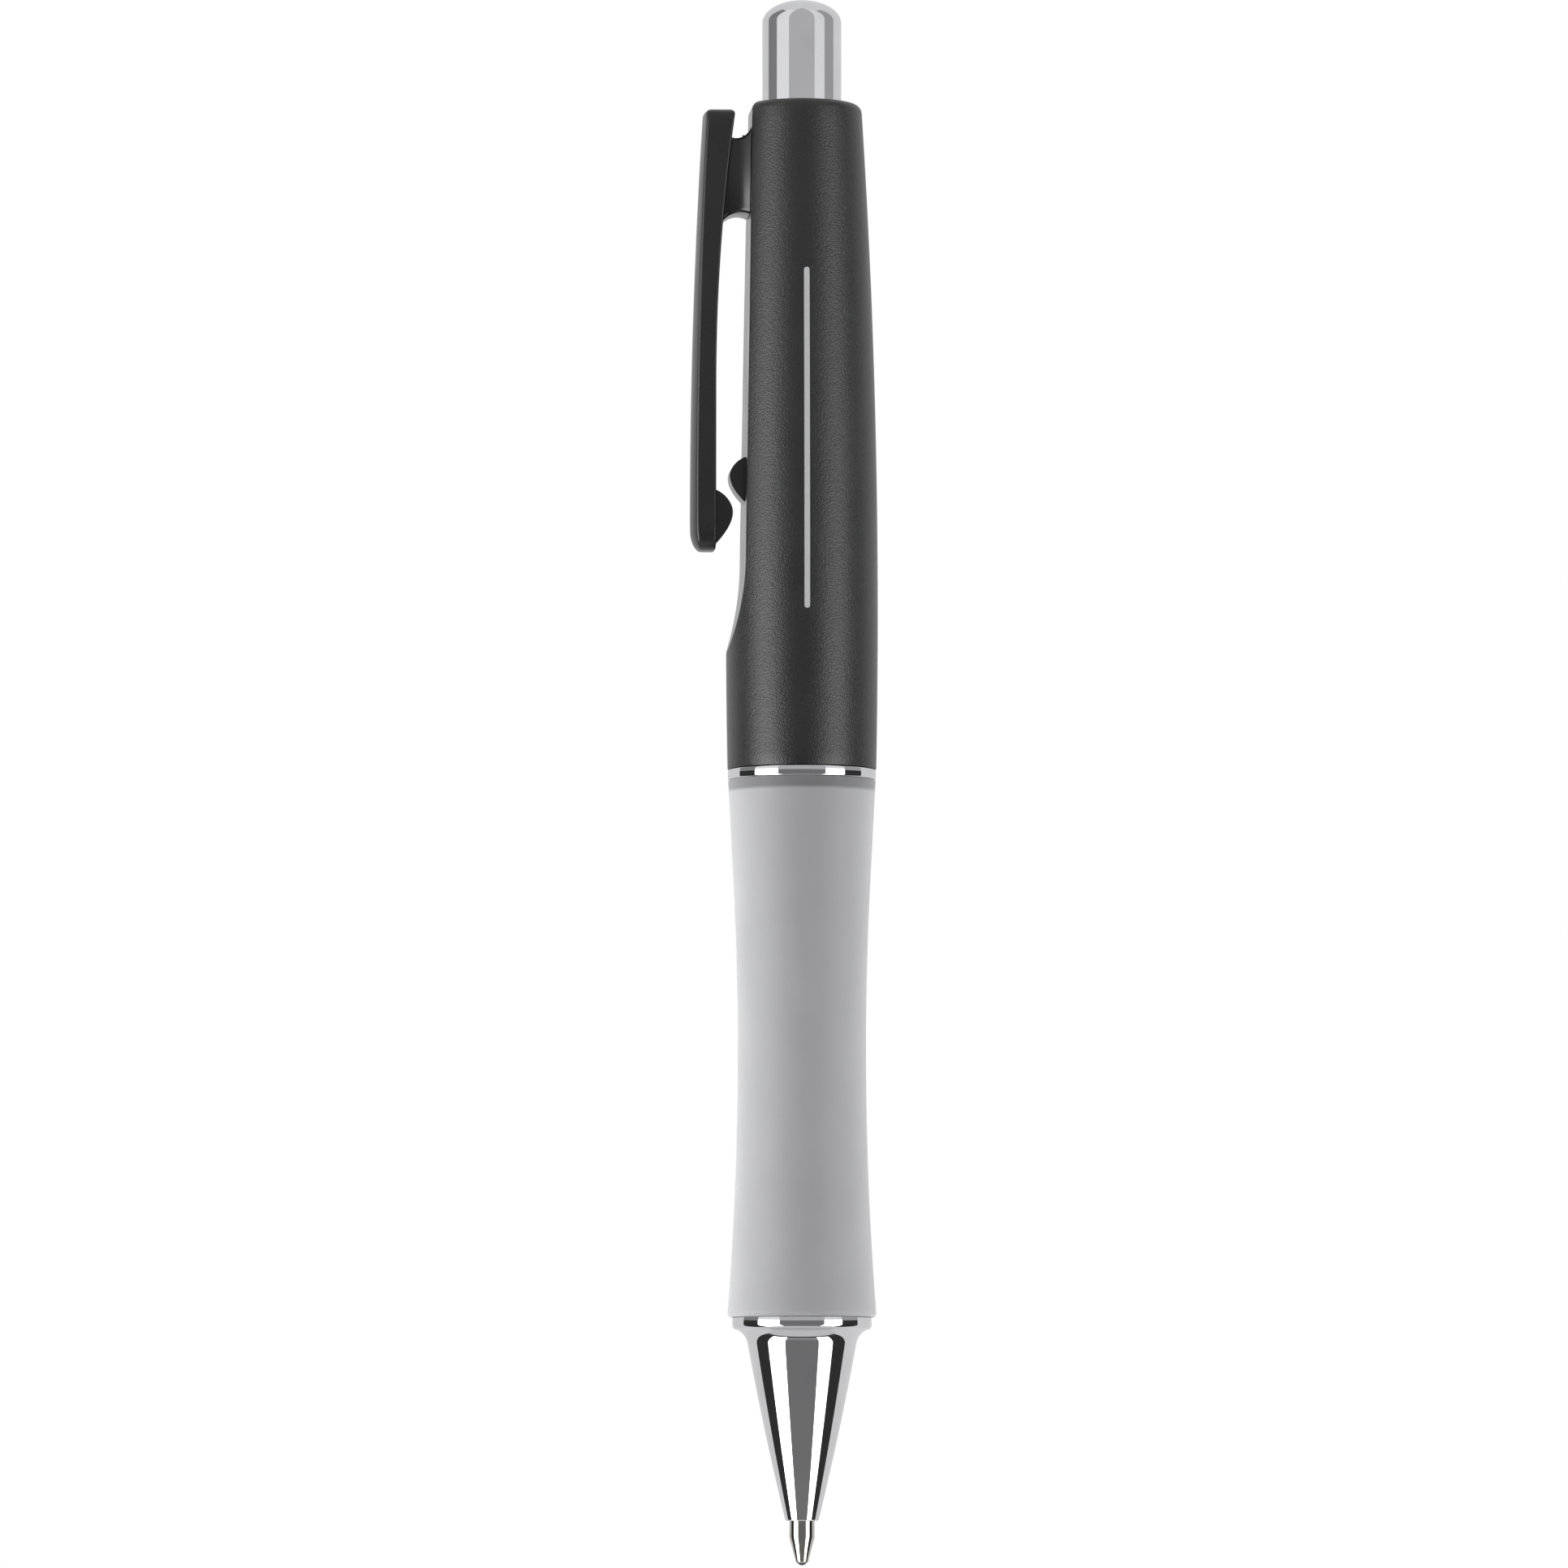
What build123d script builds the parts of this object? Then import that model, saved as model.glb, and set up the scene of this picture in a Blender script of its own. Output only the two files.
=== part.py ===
from build123d import *
import os
from math import cos, radians, sin, tan

# A push-button ballpoint pen, in millimetres, drawn with its tip out. The writing tip is at the
# origin, the pen's axis is Z with the button at the top, and the clip is on the -X side.
# Outlines of turned pieces are drawn as (radius, height).

# --- Overall sizes ---
TIP_EXPOSED = 4.0  # from the writing tip up to the nose's mouth
NOSE_LENGTH = 18.3
GRIP_LENGTH = 48.6
RING_HEIGHT = 1.0
UPPER_LENGTH = 60.7
BUTTON_REACH = 9.6  # the button's height above the barrel
BARREL_RADIUS = 6.9  # at the upper barrel's belly

# --- Clearances ---
FIT = 0.02  # between pieces that stay together
RUN = 0.08  # between pieces that slide or turn
SEAM = 0.05  # between the clip's foot and the barrel

# --- Stations along the axis ---
NOSE_MOUTH_Z = TIP_EXPOSED
GRIP_BASE_Z = NOSE_MOUTH_Z + NOSE_LENGTH
RING_BASE_Z = GRIP_BASE_Z + GRIP_LENGTH
BARREL_BASE_Z = RING_BASE_Z + RING_HEIGHT
BARREL_TOP_Z = BARREL_BASE_Z + UPPER_LENGTH
BUTTON_TOP_Z = BARREL_TOP_Z + BUTTON_REACH

# --- Upper barrel, outside ---
BELLY_HEIGHT = 14.0  # of the widest place above the barrel's base
BASE_TUCK = 0.15  # how much narrower the base is than the belly
TOP_WALL = 1.58  # round the button's bore, at the top
TOP_ROUND = 0.85
RIM_SHARE = 0.9  # the most of the flat's wall that the top's rounding may take
BARREL_BASE_RADIUS = BARREL_RADIUS - BASE_TUCK

# --- Button and its guide ---
BUTTON_RADIUS = 3.6
BUTTON_DOME = 2.06
BUTTON_WALL = 0.5
SKIRT_STEP = 0.16  # the hidden part of the button is this much larger, to guide it
BUTTON_BORE = BUTTON_RADIUS + SKIRT_STEP + RUN
BARREL_TOP_RADIUS = BUTTON_BORE + TOP_WALL
BUTTON_GUIDE = 10.6  # from the barrel's top down to the cam sleeve
BUTTON_DEPTH = 7.6  # of the button inside the barrel
STROKE = 5.0  # from the tip out to the tip in
OVERTRAVEL = 1.2  # pressed past the latch
STOP_ROOM = 0.5  # left at each end of the stroke

# --- Cam sleeve ---
SLEEVE_LENGTH = 14.0
SLEEVE_STEP = 0.4  # how much larger the sleeve is than the button above it
SLEEVE_WALL = 0.6
SLEEVE_LIP = 1.5
STEM_RADIUS = 2.5
CAM_COUNT = 4
RIB_ANGLE = 40.0
CAM_SLANT = 0.6  # height of the slanted ends of ribs, lugs and fins
SLEEVE_RADIUS = BUTTON_RADIUS + SLEEVE_STEP
GROOVE_RADIUS = SLEEVE_RADIUS - SLEEVE_WALL
RIB_RADIUS = STEM_RADIUS + RUN
LUG_RADIUS = GROOVE_RADIUS - RUN
LUG_ANGLE = 38.0
LUG_ROOT = 0.6  # how deep lugs, fins and ribs are sunk into what carries them
SLANT_MARGIN = 0.2
SLEEVE_TOP_Z = BARREL_TOP_Z - BUTTON_GUIDE
RIB_END_Z = SLEEVE_TOP_Z - SLEEVE_LENGTH

# --- Plunger ---
CROWN_GAP = 0.1  # between the plunger's crown and the level of the rib ends
CROWN_DEPTH = 0.6
PLUNGER_BORE = 1.5
PLUNGER_FLANGE = 0.6
PLUNGER_HEAD_WALL = 1.5
PLUNGER_FLANGE_INSET = 0.2
NOTCH_SHARE = 0.9  # of the crown's pitch that a notch takes
PLUNGER_BASE_Z = RIB_END_Z + CROWN_GAP
LUG_BASE_Z = PLUNGER_BASE_Z + CROWN_DEPTH
LUG_TOP_Z = SLEEVE_TOP_Z - SLEEVE_LIP - STROKE - STOP_ROOM

# --- Rotor ---
ROTOR_GAP = 0.05  # between the rotor's crests and the level of the rib ends
ROTOR_LENGTH = 8.4
ROTOR_SHANK_RADIUS = 2.1
FIN_LENGTH = 3.6
ROTOR_CEILING = 1.75
ROTOR_TOP_Z = RIB_END_Z - ROTOR_GAP
SOCKET_TOP_Z = ROTOR_TOP_Z - ROTOR_CEILING

# --- Refill ---
REFILL_RADIUS = 1.5
REFILL_WALL = 0.3
REFILL_BORE = REFILL_RADIUS - REFILL_WALL
TAIL_HEAD = 0.5
TAIL_PLUG_DEPTH = 2.0
TAIL_VENT = 0.4
TIP_RADIUS = 1.14
TIP_CYLINDER_Z = 2.5  # where the writing cone meets the cylinder
TIP_LENGTH = 8.0
TIP_SHANK_RADIUS = 0.85
TIP_SHANK_LENGTH = 3.2
INK_CHANNEL = 0.35
BALL_RADIUS = 0.5
BALL_PLAY = 0.03
RIM_RADIUS = 0.49
RIM_HEIGHT = 0.22
RIM_BORE = 0.45
CRIMP_RADIUS = 0.62
CRIMP_Z = 1.1 * BALL_RADIUS  # where the rolled rim meets the writing cone
ROLL_RADIUS = 0.93 * CRIMP_RADIUS  # halfway up the rolled rim
ROLL_Z = (RIM_HEIGHT + CRIMP_Z) / 2 - 0.04
SEAT_RADIUS = BALL_RADIUS + BALL_PLAY
SEAT_BASE_Z = 0.9 * BALL_RADIUS
SEAT_TOP_Z = 1.5 * BALL_RADIUS
HOLDER_COLLAR = 1.5
HOLDER_SPIGOT = 4.0
EAR_PLAY = 0.15  # between the ears and the spring's chamber
EAR_WIDTH = 0.8
EAR_LENGTH = 2.5
INK_LENGTH = 72.0
GREASE_LENGTH = 4.0
REFILL_TOP_Z = SOCKET_TOP_Z - RUN
TUBE_TOP_Z = REFILL_TOP_Z - TAIL_HEAD
TUBE_BASE_Z = TIP_LENGTH + HOLDER_COLLAR

# --- Nose cone ---
MOUTH_WALL = 0.28
MOUTH_BORE = TIP_RADIUS + RUN
MOUTH_RADIUS = MOUTH_BORE + MOUTH_WALL
MOUTH_LENGTH = TIP_LENGTH - TIP_EXPOSED - OVERTRAVEL - STOP_ROOM / 2
TIP_CHAMBER = 4.0
CHAMBER_PLAY = 0.25
TIP_CHAMBER_BORE = REFILL_RADIUS + CHAMBER_PLAY
CONE_HEIGHT = 16.0
CONE_TOP_RADIUS = 4.92
CONE_BULGE = 0.12
NOSE_FLANGE = 1.1
NOSE_FLANGE_ROUND = 0.4
FLANGE_INSET = 0.62  # the flange's edge inside the barrel's belly radius
SHANK_LENGTH = 4.7
SHANK_WALL = 1.45
NOSE_FLANGE_RADIUS = BARREL_RADIUS - FLANGE_INSET
SPRING_SEAT_Z = NOSE_MOUTH_Z + MOUTH_LENGTH + TIP_CHAMBER

# --- Return spring ---
SPRING_LENGTH = 15.5
WIRE_RADIUS = 0.175
COIL_PLAY = 0.275  # between the refill and the coils
COIL_ROOM = 0.325  # between the coils and the nose
COIL_COUNT = 9
COIL_RADIUS = REFILL_RADIUS + COIL_PLAY + WIRE_RADIUS
SPRING_CHAMBER_BORE = COIL_RADIUS + WIRE_RADIUS + COIL_ROOM
SHANK_RADIUS = SPRING_CHAMBER_BORE + SHANK_WALL
EAR_RADIUS = SPRING_CHAMBER_BORE - EAR_PLAY
EAR_Z = SPRING_SEAT_Z + SPRING_LENGTH

# --- Grip sleeve ---
WAIST_HEIGHT = 23.8  # of the narrowest place above the sleeve's base
WAIST_INSET = 1.1
GRIP_FLARE = 0.92  # how far the base flares out from the waist
GRIP_ROUND = 0.35
GRIP_ARC_SPAN = 13.9  # of the waist's arc above the waist, before the straight run to the top
GRIP_TOP_INSET = 0.07
WAIST_RADIUS = BARREL_RADIUS - WAIST_INSET
GRIP_WALL = 1.05

# --- Lower barrel ---
TUBE_WALL = 1.4
COLLAR_HEIGHT = 1.0
COLLAR_INSET = 0.85
THREAD_LENGTH = 5.0
THREAD_PITCH = 1.0
THREAD_DEPTH = 0.32
THREAD_LEAD_IN = 0.7
THREAD_FLANK = 0.34  # of the pitch, half the ridge's width at its root
THREAD_CREST = 0.08  # of the pitch, half its width at the crest
SPIGOT_CHAMFER = 0.4
SPIGOT_LENGTH = 6.4
UPPER_WALL = 1.35  # of the upper barrel round the thread
THREAD_PLAY = 0.06
LOWER_TUBE_RADIUS = WAIST_RADIUS - GRIP_WALL
LOWER_BORE = LOWER_TUBE_RADIUS - TUBE_WALL
COLLAR_RADIUS = BARREL_BASE_RADIUS - COLLAR_INSET
THREAD_BORE = BARREL_BASE_RADIUS - UPPER_WALL
THREAD_RADIUS = THREAD_BORE - THREAD_PLAY
THREAD_ROOM = 0.6  # the female bore's length past the spigot

# --- Ring ---
RING_INSET = 0.04
RING_ROUND = 0.15
RING_RADIUS = BARREL_BASE_RADIUS - RING_INSET

# --- Flat under the clip ---
FLAT_WALL = 0.86  # of the barrel behind the flat, at the top
FLAT_SLOPE = 0.94  # degrees
FLAT_END_HEIGHT = 18.8  # of the flat's lower end above the barrel's base
FLAT_RUNOUT = 8.5
FLAT_TOP = BUTTON_BORE + FLAT_WALL
FLAT_END_Z = BARREL_BASE_Z + FLAT_END_HEIGHT

# --- Clip ---
CLIP_DROP = 0.7  # of the clip's end below the barrel's top
CLIP_LENGTH = 40.2
CLIP_WIDTH = 5.2
CLIP_END_WIDTH = 4.4
CLIP_STANDOFF = 3.22  # of the clip's inner face from the flat's top, at its lower end
CLIP_THICKNESS = 2.26
CLIP_TOP_STANDOFF = 1.47
CLIP_TOP_THICKNESS = 2.83
CLIP_STRAIGHT = 15.3  # of the inner face, from its lower end
CLIP_BOW = 0.34  # how far the outer face bows out between its ends
CLIP_CROWN = 7.0  # radius across the outer face
CLIP_TOP_ROUND = 0.5  # seen from the side
CLIP_TIP_ROUND = 1.0  # of the lower end, seen from the side
CLIP_CORNER_ROUND = 0.9  # of the top's corners, seen from outside
CLIP_END_SHARE = 0.7  # of the end's half width that its corners' rounding takes
FOOT_DROP = 2.3  # of the foot's top below the barrel's top
FOOT_LENGTH = 8.0
FOOT_WIDTH = 6.0
NECK_WIDTH = 3.8
NECK_DIP = 0.95  # of the foot's hollow ends below its top and base
NECK_RISE = 0.05
NECK_FLARE = 0.25
FOOT_SUNK = 0.4  # how deep the foot is rooted in the arm
TENON_WIDTH = 3.0
TENON_MARGIN = 0.7
SLOT_PLAY = 0.12
TENON_END = BUTTON_BORE + SLOT_PLAY
CLIP_TOP_Z = BARREL_TOP_Z - CLIP_DROP
CLIP_END_Z = CLIP_TOP_Z - CLIP_LENGTH
FOOT_TOP_Z = BARREL_TOP_Z - FOOT_DROP
FOOT_BASE_Z = FOOT_TOP_Z - FOOT_LENGTH

# --- Catches that hold a pocket's edge ---
CATCH_WIDTH = 3.0
CLIP_CATCH_START = 0.3  # above the clip's lower end
CLIP_CATCH_LENGTH = 5.3
CLIP_CATCH_HEIGHT = 1.56
BARREL_CATCH_GAP = 3.8  # from the clip catch's start up to the barrel catch's start
BARREL_CATCH_LENGTH = 4.5
BARREL_CATCH_HEIGHT = 1.4
CATCH_SUNK = 0.3  # how deep a catch is rooted in what carries it
CATCH_CREST = 0.6  # where the crest is, as a share of the catch's length from its lower end
CATCH_LEAD = 0.2  # how steeply the back leaves its upper end
CATCH_TRAIL = 0.6  # how steeply it comes in to its lower end


def turned(*edges: Edge) -> Solid:
    """The solid that a closed outline of (radius, height) sweeps about the axis."""
    return revolve(Plane.XZ * make_face(edges), Axis.Z)


def turned_points(*points: tuple) -> Solid:
    """A turned solid whose outline has only straight edges."""
    return turned(*Polyline(*points, close=True).edges())


def tube(outer: float, inner: float, base: float, top: float) -> Solid:
    """A plain tube between two heights."""
    return turned_points((inner, base), (outer, base), (outer, top), (inner, top))


def rod(radius: float, base: float, top: float) -> Solid:
    """A plain rod between two heights."""
    return tube(radius, 0, base, top)


def side_slab(outline: Face, width: float) -> Solid:
    """A slab with a side outline drawn in (x, z), centred on y = 0."""
    return extrude(Plane.XZ * outline, width / 2, both=True)


def spokes(inner: float, outer: float, base: float, top: float, angle: float) -> Solid:
    """Equal sectors of a tube, centred on the flat's side and every quarter turn from it."""
    half = radians(angle / 2)
    reach = 2 * outer
    wedge_face = Polyline((0, 0), (reach * cos(half), -reach * sin(half)),
                          (reach * cos(half), reach * sin(half)), close=True)
    wedge = Pos(0, 0, base) * extrude(make_face(wedge_face), top - base)
    ring = tube(outer, inner, base, top)
    sectors = [ring & (Rot(0, 0, turn * 360 / CAM_COUNT) * wedge) for turn in range(CAM_COUNT)]
    return Compound(sectors)


def slants(radius: float, angle: float, level: float, rise: float) -> Solid:
    """Cutters that slope the ends of spokes: from nothing at one side to rise at the other.

    A positive rise cuts the lower ends, and a negative one cuts the upper ends.
    """
    half = radius * tan(radians(angle / 2)) + SLANT_MARGIN
    face = Plane.YZ * make_face(Polyline((-half, level), (half, level), (half, level + rise), close=True))
    cutter = extrude(face, 2 * radius)
    return Compound([Rot(0, 0, turn * 360 / CAM_COUNT) * cutter for turn in range(CAM_COUNT)])


def crown_notches(radius: float, level: float, depth: float) -> Solid:
    """V-shaped notches across the end of a rod, two for each cam; depth is negative downwards."""
    half = radius * tan(radians(180 / (2 * CAM_COUNT))) * NOTCH_SHARE
    face = Plane.YZ * make_face(Polyline((-half, level), (half, level), (0, level + depth), close=True))
    cutter = extrude(face, radius + 1, both=True)
    return Compound([Rot(0, 0, turn * 180 / CAM_COUNT) * cutter for turn in range(CAM_COUNT)])


def flat_distance(height: float) -> float:
    """Distance of the clip-side flat from the axis at a height."""
    return FLAT_TOP + (BARREL_TOP_Z - height) * tan(radians(FLAT_SLOPE))


# --- Lower half ---

def nose_cone() -> Solid:
    """Turned and plated cone that the refill's tip comes out of, with its flange and shank."""
    cone_top = NOSE_MOUTH_Z + CONE_HEIGHT
    flange_base = GRIP_BASE_Z - NOSE_FLANGE
    middle = (MOUTH_RADIUS + CONE_TOP_RADIUS) / 2 + CONE_BULGE
    side = ThreePointArc((MOUTH_RADIUS, NOSE_MOUTH_Z), (middle, NOSE_MOUTH_Z + CONE_HEIGHT / 2),
                         (CONE_TOP_RADIUS, cone_top))
    hollow = TangentArc((CONE_TOP_RADIUS, cone_top),
                        (NOSE_FLANGE_RADIUS - NOSE_FLANGE_ROUND, flange_base), tangent=side % 1)
    edge = RadiusArc((NOSE_FLANGE_RADIUS - NOSE_FLANGE_ROUND, flange_base),
                     (NOSE_FLANGE_RADIUS, flange_base + NOSE_FLANGE_ROUND), -NOSE_FLANGE_ROUND)
    rest = Polyline((NOSE_FLANGE_RADIUS, flange_base + NOSE_FLANGE_ROUND),
                    (NOSE_FLANGE_RADIUS, GRIP_BASE_Z), (SHANK_RADIUS, GRIP_BASE_Z),
                    (SHANK_RADIUS, GRIP_BASE_Z + SHANK_LENGTH), (0, GRIP_BASE_Z + SHANK_LENGTH),
                    (0, NOSE_MOUTH_Z), (MOUTH_RADIUS, NOSE_MOUTH_Z))
    body = turned(side, hollow, edge, *rest.edges())
    chamber_z = NOSE_MOUTH_Z + MOUTH_LENGTH
    body -= rod(MOUTH_BORE, NOSE_MOUTH_Z - 1, chamber_z + 1)
    body -= rod(TIP_CHAMBER_BORE, chamber_z, SPRING_SEAT_Z + 1)
    return body - rod(SPRING_CHAMBER_BORE, SPRING_SEAT_Z, GRIP_BASE_Z + SHANK_LENGTH + 1)


def thread_ridge() -> Solid:
    """Helical ridge of the spigot's thread."""
    root = THREAD_RADIUS - THREAD_DEPTH - FIT
    turn = Helix(pitch=THREAD_PITCH, height=THREAD_LENGTH - THREAD_PITCH, radius=root)
    flank = THREAD_FLANK * THREAD_PITCH
    crest = THREAD_CREST * THREAD_PITCH
    section = Plane(origin=turn @ 0, x_dir=(1, 0, 0), z_dir=turn % 0) * make_face(
        Polyline((0, -flank), (THREAD_DEPTH + FIT, -crest), (THREAD_DEPTH + FIT, crest), (0, flank),
                 close=True))
    return Pos(0, 0, BARREL_BASE_Z + THREAD_LEAD_IN) * sweep(section, path=turn, is_frenet=True)


def lower_barrel() -> Solid:
    """Inner tube under the grip, with the collar that the ring sits on and the threaded spigot."""
    root = THREAD_RADIUS - THREAD_DEPTH
    spigot_top = BARREL_BASE_Z + SPIGOT_LENGTH
    body = turned_points(
        (LOWER_BORE, GRIP_BASE_Z + FIT), (LOWER_TUBE_RADIUS, GRIP_BASE_Z + FIT),
        (LOWER_TUBE_RADIUS, RING_BASE_Z - COLLAR_HEIGHT), (COLLAR_RADIUS, RING_BASE_Z - COLLAR_HEIGHT),
        (COLLAR_RADIUS, RING_BASE_Z), (root, RING_BASE_Z), (root, spigot_top - SPIGOT_CHAMFER),
        (root - SPIGOT_CHAMFER, spigot_top), (LOWER_BORE, spigot_top))
    body -= rod(SHANK_RADIUS + FIT, GRIP_BASE_Z, GRIP_BASE_Z + SHANK_LENGTH + FIT)
    return body + thread_ridge()


def grip_sleeve() -> Solid:
    """Soft waisted sleeve over the lower barrel."""
    base = GRIP_BASE_Z + FIT
    waist_z = GRIP_BASE_Z + WAIST_HEIGHT
    base_radius = WAIST_RADIUS + GRIP_FLARE
    top_radius = BARREL_BASE_RADIUS - GRIP_TOP_INSET
    join = (WAIST_RADIUS + GRIP_FLARE * (GRIP_ARC_SPAN / WAIST_HEIGHT) ** 2, waist_z + GRIP_ARC_SPAN)
    outer = turned(
        ThreePointArc((base_radius, base + GRIP_ROUND), (WAIST_RADIUS, waist_z), join),
        *Polyline(join, (top_radius, RING_BASE_Z), (0, RING_BASE_Z), (0, base),
                  (base_radius - GRIP_ROUND, base)).edges(),
        RadiusArc((base_radius - GRIP_ROUND, base), (base_radius, base + GRIP_ROUND), -GRIP_ROUND))
    outer -= rod(LOWER_TUBE_RADIUS + FIT, base - 1, RING_BASE_Z - COLLAR_HEIGHT)
    return outer - rod(COLLAR_RADIUS + FIT, RING_BASE_Z - COLLAR_HEIGHT - FIT, RING_BASE_Z + 1)


def return_spring() -> Solid:
    """Compression spring between the nose's seat and the refill's ears."""
    height = SPRING_LENGTH - 2 * (WIRE_RADIUS + FIT)
    turn = Helix(pitch=height / COIL_COUNT, height=height, radius=COIL_RADIUS)
    wire = Plane(origin=turn @ 0, z_dir=turn % 0) * Circle(WIRE_RADIUS)
    return Pos(0, 0, SPRING_SEAT_Z + WIRE_RADIUS + FIT) * sweep(wire, path=turn, is_frenet=True)


def barrel_ring() -> Solid:
    """Trim ring between the two halves."""
    ring = tube(RING_RADIUS, THREAD_RADIUS + RUN, RING_BASE_Z + FIT, BARREL_BASE_Z - FIT)
    return fillet(ring.edges().filter_by(GeomType.CIRCLE).group_by(SortBy.RADIUS)[-1], RING_ROUND)


# --- Refill ---

def refill_tube() -> Solid:
    """Ink tube with the two ears that the spring pushes on."""
    body = tube(REFILL_RADIUS, REFILL_BORE, TUBE_BASE_Z, TUBE_TOP_Z)
    ears = Pos(0, 0, EAR_Z) * Box(2 * EAR_RADIUS, EAR_WIDTH, EAR_LENGTH,
                                 align=(Align.CENTER, Align.CENTER, Align.MIN))
    ears &= tube(EAR_RADIUS, (REFILL_RADIUS + REFILL_BORE) / 2, EAR_Z, EAR_Z + EAR_LENGTH)
    return body + ears


def tip_holder() -> Solid:
    """Adaptor that holds the metal tip in the ink tube."""
    body = rod(REFILL_RADIUS, TIP_LENGTH + FIT, TUBE_BASE_Z - FIT)
    body += rod(REFILL_BORE - FIT, TIP_LENGTH + FIT, TUBE_BASE_Z + HOLDER_SPIGOT)
    return body - rod(TIP_SHANK_RADIUS + FIT, TIP_LENGTH - 1, TUBE_BASE_Z + HOLDER_SPIGOT + 1)


def ballpoint_tip() -> Solid:
    """Metal writing tip with its ball seat, rolled rim and ink channel."""
    rim = Line((0, RIM_HEIGHT), (RIM_RADIUS, RIM_HEIGHT))
    roll = ThreePointArc(rim @ 1, (ROLL_RADIUS, ROLL_Z), (CRIMP_RADIUS, CRIMP_Z))
    shank_top = TIP_LENGTH + TIP_SHANK_LENGTH
    rest = Polyline(roll @ 1, (TIP_RADIUS, TIP_CYLINDER_Z), (TIP_RADIUS, TIP_LENGTH),
                    (TIP_SHANK_RADIUS, TIP_LENGTH), (TIP_SHANK_RADIUS, shank_top), (0, shank_top), rim @ 0)
    roof_z = SEAT_TOP_Z + SEAT_RADIUS - INK_CHANNEL
    body = turned(rim, roll, *rest.edges())
    body -= turned_points((0, 0), (RIM_BORE, 0), (RIM_BORE, RIM_HEIGHT), (SEAT_RADIUS, SEAT_BASE_Z),
                          (SEAT_RADIUS, SEAT_TOP_Z), (INK_CHANNEL, roof_z), (0, roof_z))
    return body - rod(INK_CHANNEL, SEAT_TOP_Z, shank_top + 1)


def writing_ball() -> Solid:
    """Ball that rolls the ink on to the paper; its poles are across the pen."""
    return Pos(0, 0, BALL_RADIUS) * Rot(0, 90, 0) * Sphere(BALL_RADIUS)


INK_BASE_Z = TUBE_BASE_Z + HOLDER_SPIGOT + FIT


def ink_column() -> Solid:
    """Ink in the tube."""
    return rod(REFILL_BORE - FIT, INK_BASE_Z, INK_BASE_Z + INK_LENGTH)


def ink_follower() -> Solid:
    """Grease plug that follows the ink down the tube."""
    base = INK_BASE_Z + INK_LENGTH + FIT
    return rod(REFILL_BORE - FIT, base, base + GREASE_LENGTH)


def tail_plug() -> Solid:
    """Vented plug in the tube's tail."""
    body = rod(REFILL_BORE - FIT, TUBE_TOP_Z - TAIL_PLUG_DEPTH, TUBE_TOP_Z + FIT)
    body += rod(REFILL_RADIUS, TUBE_TOP_Z + FIT, REFILL_TOP_Z)
    return body - rod(TAIL_VENT, TUBE_TOP_Z - TAIL_PLUG_DEPTH - 1, REFILL_TOP_Z + 1)


# --- Push mechanism ---

def rotor() -> Solid:
    """Turning cam that sits on the refill's tail and latches under the sleeve's ribs."""
    base = ROTOR_TOP_Z - ROTOR_LENGTH
    fin_base = ROTOR_TOP_Z - FIN_LENGTH
    fins = spokes(STEM_RADIUS - LUG_ROOT, LUG_RADIUS, fin_base, ROTOR_TOP_Z, LUG_ANGLE)
    fins -= slants(LUG_RADIUS, LUG_ANGLE, ROTOR_TOP_Z, -CAM_SLANT)
    hub = rod(ROTOR_SHANK_RADIUS, base, fin_base) + rod(STEM_RADIUS, fin_base, ROTOR_TOP_Z)
    hub -= crown_notches(STEM_RADIUS, ROTOR_TOP_Z, -CROWN_DEPTH)
    return hub + fins - rod(REFILL_RADIUS + RUN, base - 1, SOCKET_TOP_Z)


def cam_sleeve() -> Solid:
    """Grooved sleeve pressed into the barrel, with slanted rib ends that the rotor latches under."""
    body = tube(SLEEVE_RADIUS, GROOVE_RADIUS, RIB_END_Z, SLEEVE_TOP_Z)
    ribs = spokes(RIB_RADIUS, GROOVE_RADIUS + SLEEVE_WALL / 2, RIB_END_Z, SLEEVE_TOP_Z, RIB_ANGLE)
    ribs -= slants(SLEEVE_RADIUS, RIB_ANGLE, RIB_END_Z, CAM_SLANT)
    lip = tube(SLEEVE_RADIUS, RIB_RADIUS, SLEEVE_TOP_Z - SLEEVE_LIP, SLEEVE_TOP_Z)
    return body + Rot(0, 0, 180 / CAM_COUNT) * ribs + lip


def push_cam() -> Solid:
    """Plunger under the button: its crown turns the rotor, and its lugs run in the grooves."""
    skirt_base = BARREL_TOP_Z - BUTTON_DEPTH
    flange_base = skirt_base - PLUNGER_FLANGE
    head_radius = BUTTON_RADIUS - BUTTON_WALL - FIT
    head_top = BUTTON_TOP_Z - BUTTON_DOME - FIT
    body = rod(STEM_RADIUS, PLUNGER_BASE_Z, flange_base)
    body += rod(BUTTON_RADIUS - PLUNGER_FLANGE_INSET, flange_base, skirt_base - FIT)
    body += rod(head_radius, skirt_base - FIT, head_top)
    body -= crown_notches(STEM_RADIUS, PLUNGER_BASE_Z, CROWN_DEPTH)
    body += spokes(STEM_RADIUS - LUG_ROOT, LUG_RADIUS, LUG_BASE_Z, LUG_TOP_Z, LUG_ANGLE)
    return body - rod(PLUNGER_BORE, PLUNGER_BASE_Z - 1, head_top - PLUNGER_HEAD_WALL)


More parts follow.
